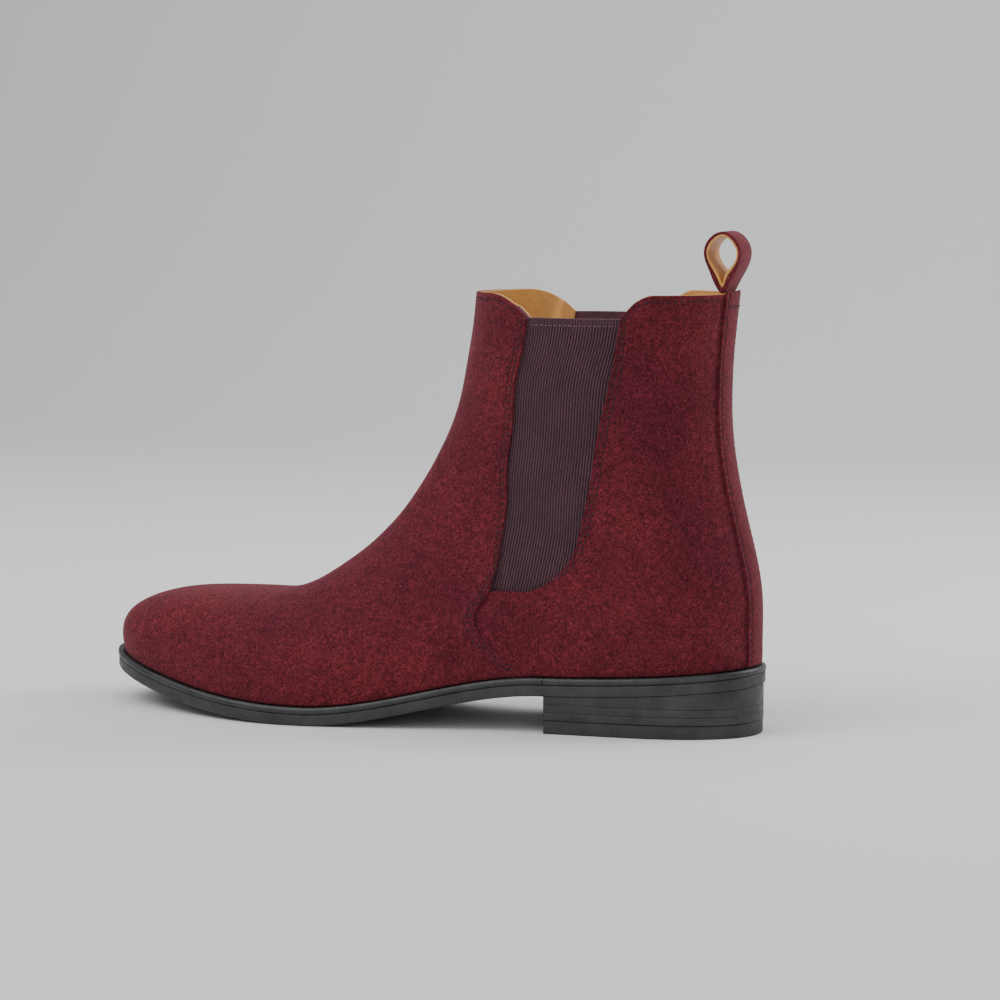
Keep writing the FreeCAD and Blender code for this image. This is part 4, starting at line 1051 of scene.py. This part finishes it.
plum, plum_tree, plum_shader = nodes_of("plum_elastic")
strands = noise(plum_tree, 1900.0, 4.0, 0.65, (1.0, 1.0, 0.35))
knit = ramp(plum_tree, strands, (0.34, (0.02, 0.0075, 0.0115)), (0.68, (0.062, 0.024, 0.034)))
drift = ramp(plum_tree, noise(plum_tree, 60.0, 3.0), (0.35, (0.85,) * 3), (0.65, (1.15,) * 3))
# The shade attribute paints shade into the elastic's colour: dark in the rib valleys, lighter on the rib
# crests and cut edges.
rib_shade = plum_tree.nodes.new("ShaderNodeAttribute")
rib_shade.attribute_name = "shade"
painted_rib_shade = ramp(plum_tree, rib_shade.outputs["Fac"], (0.3, (0.05, 0.03, 0.045)), (0.95, (1.85, 1.3, 1.55)))
knitted = multiplied(plum_tree, knit, drift)
plum_tree.links.new(multiplied(plum_tree, knitted, painted_rib_shade), plum_shader.inputs["Base Color"])
plum_shader.inputs["Roughness"].default_value = 0.8
plum_shader.inputs["Sheen Weight"].default_value = 0.12
plum_shader.inputs["Sheen Tint"].default_value = (0.85, 0.6, 0.7, 1.0)
bumps(plum_tree, plum_shader, (noise(plum_tree, 2400.0, 3.0, 0.6, (1.0, 1.0, 0.4)), 0.6, 0.0002))

thread_pale, pale_tree, pale_shader = nodes_of("rose_thread")
pale_fibre = noise(pale_tree, 1800.0, 3.0)
pale_twist = ramp(pale_tree, pale_fibre, (0.35, (0.12, 0.045, 0.055)), (0.65, (0.26, 0.11, 0.12)))
pale_tree.links.new(pale_twist, pale_shader.inputs["Base Color"])
pale_shader.inputs["Roughness"].default_value = 0.6

RIB, FOLD_STITCH = 1.3 * MM, 3.1 * MM
GORE_BEND = ("root", "shaft_front", Vector((-0.0715, 0.0, 0.0)), Vector((-0.0325, 0.0, 0.0057)))
SHEET_BACK = np.arange(38.0, 131.0, 3.0) * MM
SHEET_UP = np.arange(50.0, 188.0, 137.0 / 46.0) * MM
gore_front_line = through([(up, back) for back, up in GORE_FRONT])
gore_rear_line = through([(up, back) for back, up in GORE_REAR[1:]])


def side_width(side):
    """The form's half width over back distance and height, cubic between the places of
    a table (Catmull-Rom weights)."""
    back, up = np.meshgrid(SHEET_BACK, SHEET_UP, indexing="ij")
    row, down = seen_from_side(side, back.ravel(), up.ravel())
    table = one_side(row, down, side)[:, 1].reshape(back.shape)

    def width(back, up):
        """Half width at arrays of back distances and heights."""
        a = (back - SHEET_BACK[0]) / (SHEET_BACK[1] - SHEET_BACK[0])
        b = (up - SHEET_UP[0]) / (SHEET_UP[1] - SHEET_UP[0])
        i = np.clip(a.astype(int), 1, len(SHEET_BACK) - 3)
        j = np.clip(b.astype(int), 1, len(SHEET_UP) - 3)
        made = 0.0
        for m, first in enumerate(cubic_weights(a - i)):
            for n, second in enumerate(cubic_weights(b - j)):
                made = made + first * second * table[i + m - 1, j + n - 1]
        return made

    return width


GORE_UNDER = 6.0 * MM


def gore_grid(side):
    """Columns a fixed way behind the front edge, six millimetres under it to six under
    the quarter; each runs from the rear edge, or the gore's foot, up to the topline."""
    behind = np.arange(0.0, 54.0 * MM, RIB / 8.0)
    heights = np.linspace(50.0 * MM, 178.0 * MM, 400)
    corner_back, corner_up = GORE_REAR[1]
    foot_line = corner_back + (corner_up - heights) * 2.4
    rear = np.where(heights < corner_up, foot_line, gore_rear_line(heights))
    spread = gore_front_line(heights) - rear + 2.0 * GORE_UNDER
    low = np.maximum(np.interp(behind, spread, heights), 52.0 * MM)
    high = np.full_like(low, 177.0 * MM)
    for _ in range(4):
        high = topline(gore_front_line(high) + GORE_UNDER - behind)
    share = np.concatenate([np.linspace(0.0, 0.94, 70), np.linspace(0.94, 1.0, 18)[1:]])[:, None]
    up = low + (high - low) * share
    back = gore_front_line(up) + GORE_UNDER - behind
    half = side_width(side)(back, up)
    return np.stack([back, side * half, up], -1), behind


for side, side_name in ((LATERAL, "lateral"), (MEDIAL, "medial")):
    grid, behind = gore_grid(side)
    normal = outward(grid)
    top_run = edge_distance(grid, 0, True)
    fold = 1.0 - rising(top_run, 3.4 * MM, 0.8 * MM)
    ridged = np.abs(np.sin(math.pi * behind / RIB))[None, :] ** 0.8
    ridged = ridged * (1.0 - 0.5 * fold)
    depth = 2.05 * MM - 0.55 * MM * ridged - 0.3 * MM * fold + dent(top_run, (FOLD_STITCH,), 0.2 * MM)
    # shade carries painted shade for the elastic: low in the rib valleys, high on the crests, evened out over
    # the folded top.
    leather(
        f"gore_elastic_{side_name}", grid, normal, depth, 3.1 * MM, plum, GORE_BEND,
        (f"gore_{side_name}",), shade=ridged + 0.35 * fold,
    )
    surface = grid - normal * depth[..., None]
    clear = (slice(None), slice(40, -50, 4))
    path, facing = (beside(values[clear], top_run[clear], FOLD_STITCH, 0) for values in (surface, normal))
    stitches(
        f"gore_top_stitch_{side_name}", path, facing, thread_pale, GORE_BEND, "plum_elastic",
        2.4 * MM, 0.42 * MM,
    )

# ------------------------------------------------------------------ back strip
# A raised strip of suede covers the back seam from the rand to the pull loop, glued
# and stitched close to both edges.

STRIP_HALF, STRIP = 10.0 * MM, 1.2 * MM
STRIP_TOP, STRIP_STITCH = 1.4 * MM, 1.8 * MM
border = np.linspace(0.7, 1.0, 14)
aside = np.concatenate([np.linspace(-1.0, -0.7, 14), np.linspace(-0.7, 0.7, 24)[1:-1], border]) * STRIP_HALF
rise = np.linspace(0.004, 1.0, 240)
back_radius = np.linalg.norm(shaft(np.full(240, 180.0), rise)[:, :2] - np.array([AXIS_BACK, 0.0]), axis=1)
strip_azimuth = 180.0 + np.degrees(aside[None, :] / back_radius[:, None])
strip_rise = np.broadcast_to(rise[:, None], strip_azimuth.shape)
strip_points, strip_normal = shaft(strip_azimuth, strip_rise), shaft_normal(strip_azimuth, strip_rise)
extra = strip_points[-1] + np.array([0.0, 0.0, STRIP_TOP]) - np.array([0.1 * MM, 0.0, 0.0])
strip_points = np.concatenate([strip_points, (strip_points[-1:] + extra[None]) / 2.0, extra[None]])
strip_normal = np.concatenate([strip_normal, strip_normal[-1:], strip_normal[-1:]])
strip_run = np.minimum(edge_distance(strip_points, 1, False), edge_distance(strip_points, 1, True))
strip_top_run = edge_distance(strip_points, 0, True)
strip_depth = waves(strip_points, 0.06 * MM) - STRIP + dent(strip_run, (STRIP_STITCH,)) - 0.1 * MM
leather(
    "back_strip_suede", strip_points, strip_normal, strip_depth, -0.05 * MM,
    burgundy, "root", ("back_strip",),
)
strip_surface = strip_points - strip_normal * strip_depth[..., None]
for last, side_name in ((False, "medial"), (True, "lateral")):
    run = edge_distance(strip_points, 1, last)
    sew(f"strip_stitch_{side_name}", strip_surface, strip_normal, run, STRIP_STITCH, 1, "root")
on = (slice(None), slice(6, -6))
faces_of = (strip_surface, strip_normal)
path, facing = (beside(values[on], strip_top_run[on], 6.5 * MM, 0) for values in faces_of)
stitches("strip_bar_stitch", path, facing, thread_dark, "root", "burgundy_suede", 2.6 * MM, 0.7 * MM)

# ------------------------------------------------------------------ pull loop
# A strap folded into a teardrop and sewn down at the back of the topline: suede outside,
# tan calf inside, its cut edges left raw. It bends at its narrow root.

STRAP, ROOT_LOW, ROOT_BACK = 1.2 * MM, HEIGHT + 0.4 * MM, 17.5 * MM
LOOP_WIDTH, LOOP_HIGH, LOOP_DEEP = 17.6 * MM, 26.0 * MM, 16.4 * MM
LOOP_REAR = ((0.0, 0.0), (0.14, 0.16), (0.38, 0.37), (0.64, 0.49), (0.87, 0.36), (1.0, 0.0))
LOOP_FRONT = ((0.0, 0.0), (0.12, 0.18), (0.36, 0.35), (0.64, 0.5), (0.87, 0.38), (1.0, 0.0))


def teardrop(inset):
    """The loop from the side: a closed spline through half depths over height, its sides
    and top moved in by the inset and its root by twice that."""
    low, high = ROOT_LOW + 2.2 * inset, ROOT_LOW + LOOP_HIGH - inset
    spots = []
    for sign, lines in ((-1.0, LOOP_REAR), (1.0, LOOP_FRONT[::-1])):
        for share, deep in lines[:-1]:
            spots.append((ROOT_BACK + sign * max(deep * LOOP_DEEP - inset, 0.0), low + (high - low) * share))
    spots = np.array(spots[-4:] + spots + spots[:4])
    run = way_along(spots)
    at = np.linspace(run[4], run[-4], 161)[:-1]
    return np.stack([through(list(zip(run, spots[:, k])))(at) for k in range(2)], -1)


def strap_band(name, outer, inner, material, node):
    """A layer of the strap: its rounded section (inset, sideways) swept round the drop."""
    radius = 0.3 * MM
    corners = ((1, -1), (1, 1), (-1, 1), (-1, -1))
    section = []
    for k, (deep, wide) in enumerate(corners):
        for turn in np.linspace(0.0, math.pi / 2.0, 4):
            angle = math.pi / 2.0 * (k - 1) + turn
            along = 0.5 * (1.0 + deep) * STRAP - deep * radius + radius * math.cos(angle)
            across = wide * (LOOP_WIDTH / 2.0 - radius) + radius * math.sin(angle)
            section.append((along / STRAP, across))
    first, second = teardrop(outer), teardrop(inner)
    points = []
    for share, across in section:
        line = first + (second - first) * share
        points.append(np.stack([line[:, 0], np.full(len(line), across), line[:, 1]], -1))
    points = np.stack(points, 1)
    points = np.concatenate([points, points[:1]])
    faces = tube_faces(len(points), len(section))
    piece(name, points, faces, material, "pull_loop_strap", (node,))


loop_suede = suede("loop_suede", (0.1, 0.0125, 0.021), (0.135, 0.018, 0.025), 1150.0)
strap_band("loop_strap_suede", 0.0, STRAP, loop_suede, "pull_loop")
strap_band("loop_strap_calf", STRAP, 1.6 * STRAP, tan_calf, "pull_loop_lining")

# ------------------------------------------------------------------ inside
# Under the foot: a smooth leather sock over a fibre insole, cork filler and a steel
# shank. Stiffeners shape the toe and heel, nails hold the heel, and a grip lines it.

sock = smooth_leather("sock_calf", (0.36, 0.17, 0.05), (0.46, 0.24, 0.075), 0.55)


def pressed_board(name, dark, light, size, roughness, metallic=0.0):
    """Board, cork or metal: one noise mottles the colour, another roughens the surface."""
    material, tree, shader = nodes_of(name)
    mottle = ramp(tree, noise(tree, size, 5.0, 0.7), (0.35, dark), (0.65, light))
    tree.links.new(mottle, shader.inputs["Base Color"])
    shader.inputs["Roughness"].default_value = roughness
    shader.inputs["Metallic"].default_value = metallic
    bumps(tree, shader, (noise(tree, size * 2.0, 4.0), 0.4, 0.0003))
    return material


board = pressed_board("fibre_board", (0.28, 0.19, 0.11), (0.4, 0.29, 0.18), 900.0, 0.85)
felt = pressed_board("fibre_stiffener", (0.3, 0.26, 0.21), (0.42, 0.37, 0.3), 1100.0, 0.9)
cork = pressed_board("cork_filler", (0.16, 0.085, 0.04), (0.42, 0.26, 0.14), 420.0, 0.9)
steel = pressed_board("spring_steel", (0.25, 0.25, 0.26), (0.4, 0.4, 0.41), 300.0, 0.35, 1.0)
brass = pressed_board("pin_brass", (0.55, 0.38, 0.14), (0.75, 0.54, 0.22), 500.0, 0.4, 1.0)
INSIDE = {
    "sock_liner": sock, "heel_grip": tan_calf, "insole": board, "cork_filler": cork, "shank": steel,
    "toe_puff": felt, "heel_counter": felt, "heel_nails": steel, "top_piece_pins": brass,
}
for node, material in INSIDE.items():
    shell = bpy.data.objects[node]
    shell.data.materials.clear()
    shell.data.materials.append(material)

# ------------------------------------------------------------------ stage
# A pale seamless floor, a broad soft light over the toe, a fill from the viewer's side
# and a rim from behind the heel.

floor_paint, _, floor_shader = nodes_of("pale_floor")
floor_shader.inputs["Base Color"].default_value = (0.72, 0.72, 0.715, 1.0)
floor_shader.inputs["Roughness"].default_value = 0.9
cove = [(-1.2 - math.sin(t), 1.0 - math.cos(t)) for t in np.linspace(0.0, math.pi / 2.0, 24)]
sweep = [(2.5, 0.0), *cove, (-2.2, 3.2)]
floor_mesh = bpy.data.meshes.new("floor")
floor_points = [(wide, deep, high) for deep, high in sweep for wide in (-4.0, 4.0)]
floor_quads = [(2 * k, 2 * k + 1, 2 * k + 3, 2 * k + 2) for k in range(len(sweep) - 1)]
floor_mesh.from_pydata(floor_points, [], floor_quads)
floor = bpy.data.objects.new("floor", floor_mesh)
floor_mesh.materials.append(floor_paint)
floor_mesh.polygons.foreach_set("use_smooth", [True] * len(floor_mesh.polygons))
bpy.context.collection.objects.link(floor)

LIGHTS = (
    ("key", (0.75, 0.75, 1.35), 1.1, 17.0),
    ("fill", (-0.5, 1.6, 0.7), 1.4, 8.0),
    ("rim", (-1.05, -0.55, 0.8), 0.6, 11.0),
    ("top", (0.0, -0.1, 1.7), 1.2, 6.0),
    ("backdrop", (0.0, -0.35, 1.5), 1.6, 13.0),
)
AIMS = {"backdrop": Vector((0.0, -2.1, 0.8))}
for name, place, width, power in LIGHTS:
    lamp = bpy.data.lights.new(name, "AREA")
    lamp.size, lamp.energy = width, power
    shown = bpy.data.objects.new(name, lamp)
    shown.location = place
    aim = AIMS.get(name, Vector((0.0, 0.0, 0.08)))
    shown.rotation_euler = (aim - Vector(place)).to_track_quat("-Z", "Y").to_euler()
    bpy.context.collection.objects.link(shown)
world = bpy.context.scene.world or bpy.data.worlds.new("studio")
bpy.context.scene.world = world
world.use_nodes = True
sky = world.node_tree.nodes["Background"]
sky.inputs["Color"].default_value = (0.9, 0.92, 0.95, 1.0)
sky.inputs["Strength"].default_value = 0.45

lens = bpy.data.cameras.new("view")
lens.lens, lens.sensor_width = 114.345, 36.0
camera = bpy.data.objects.new("view", lens)
camera.location = (-0.4989, 1.2958, 0.2428)
camera.rotation_euler = Vector((0.33721, -0.93543, -0.10615)).to_track_quat("-Z", "Y").to_euler()
bpy.context.collection.objects.link(camera)
bpy.context.scene.camera = camera
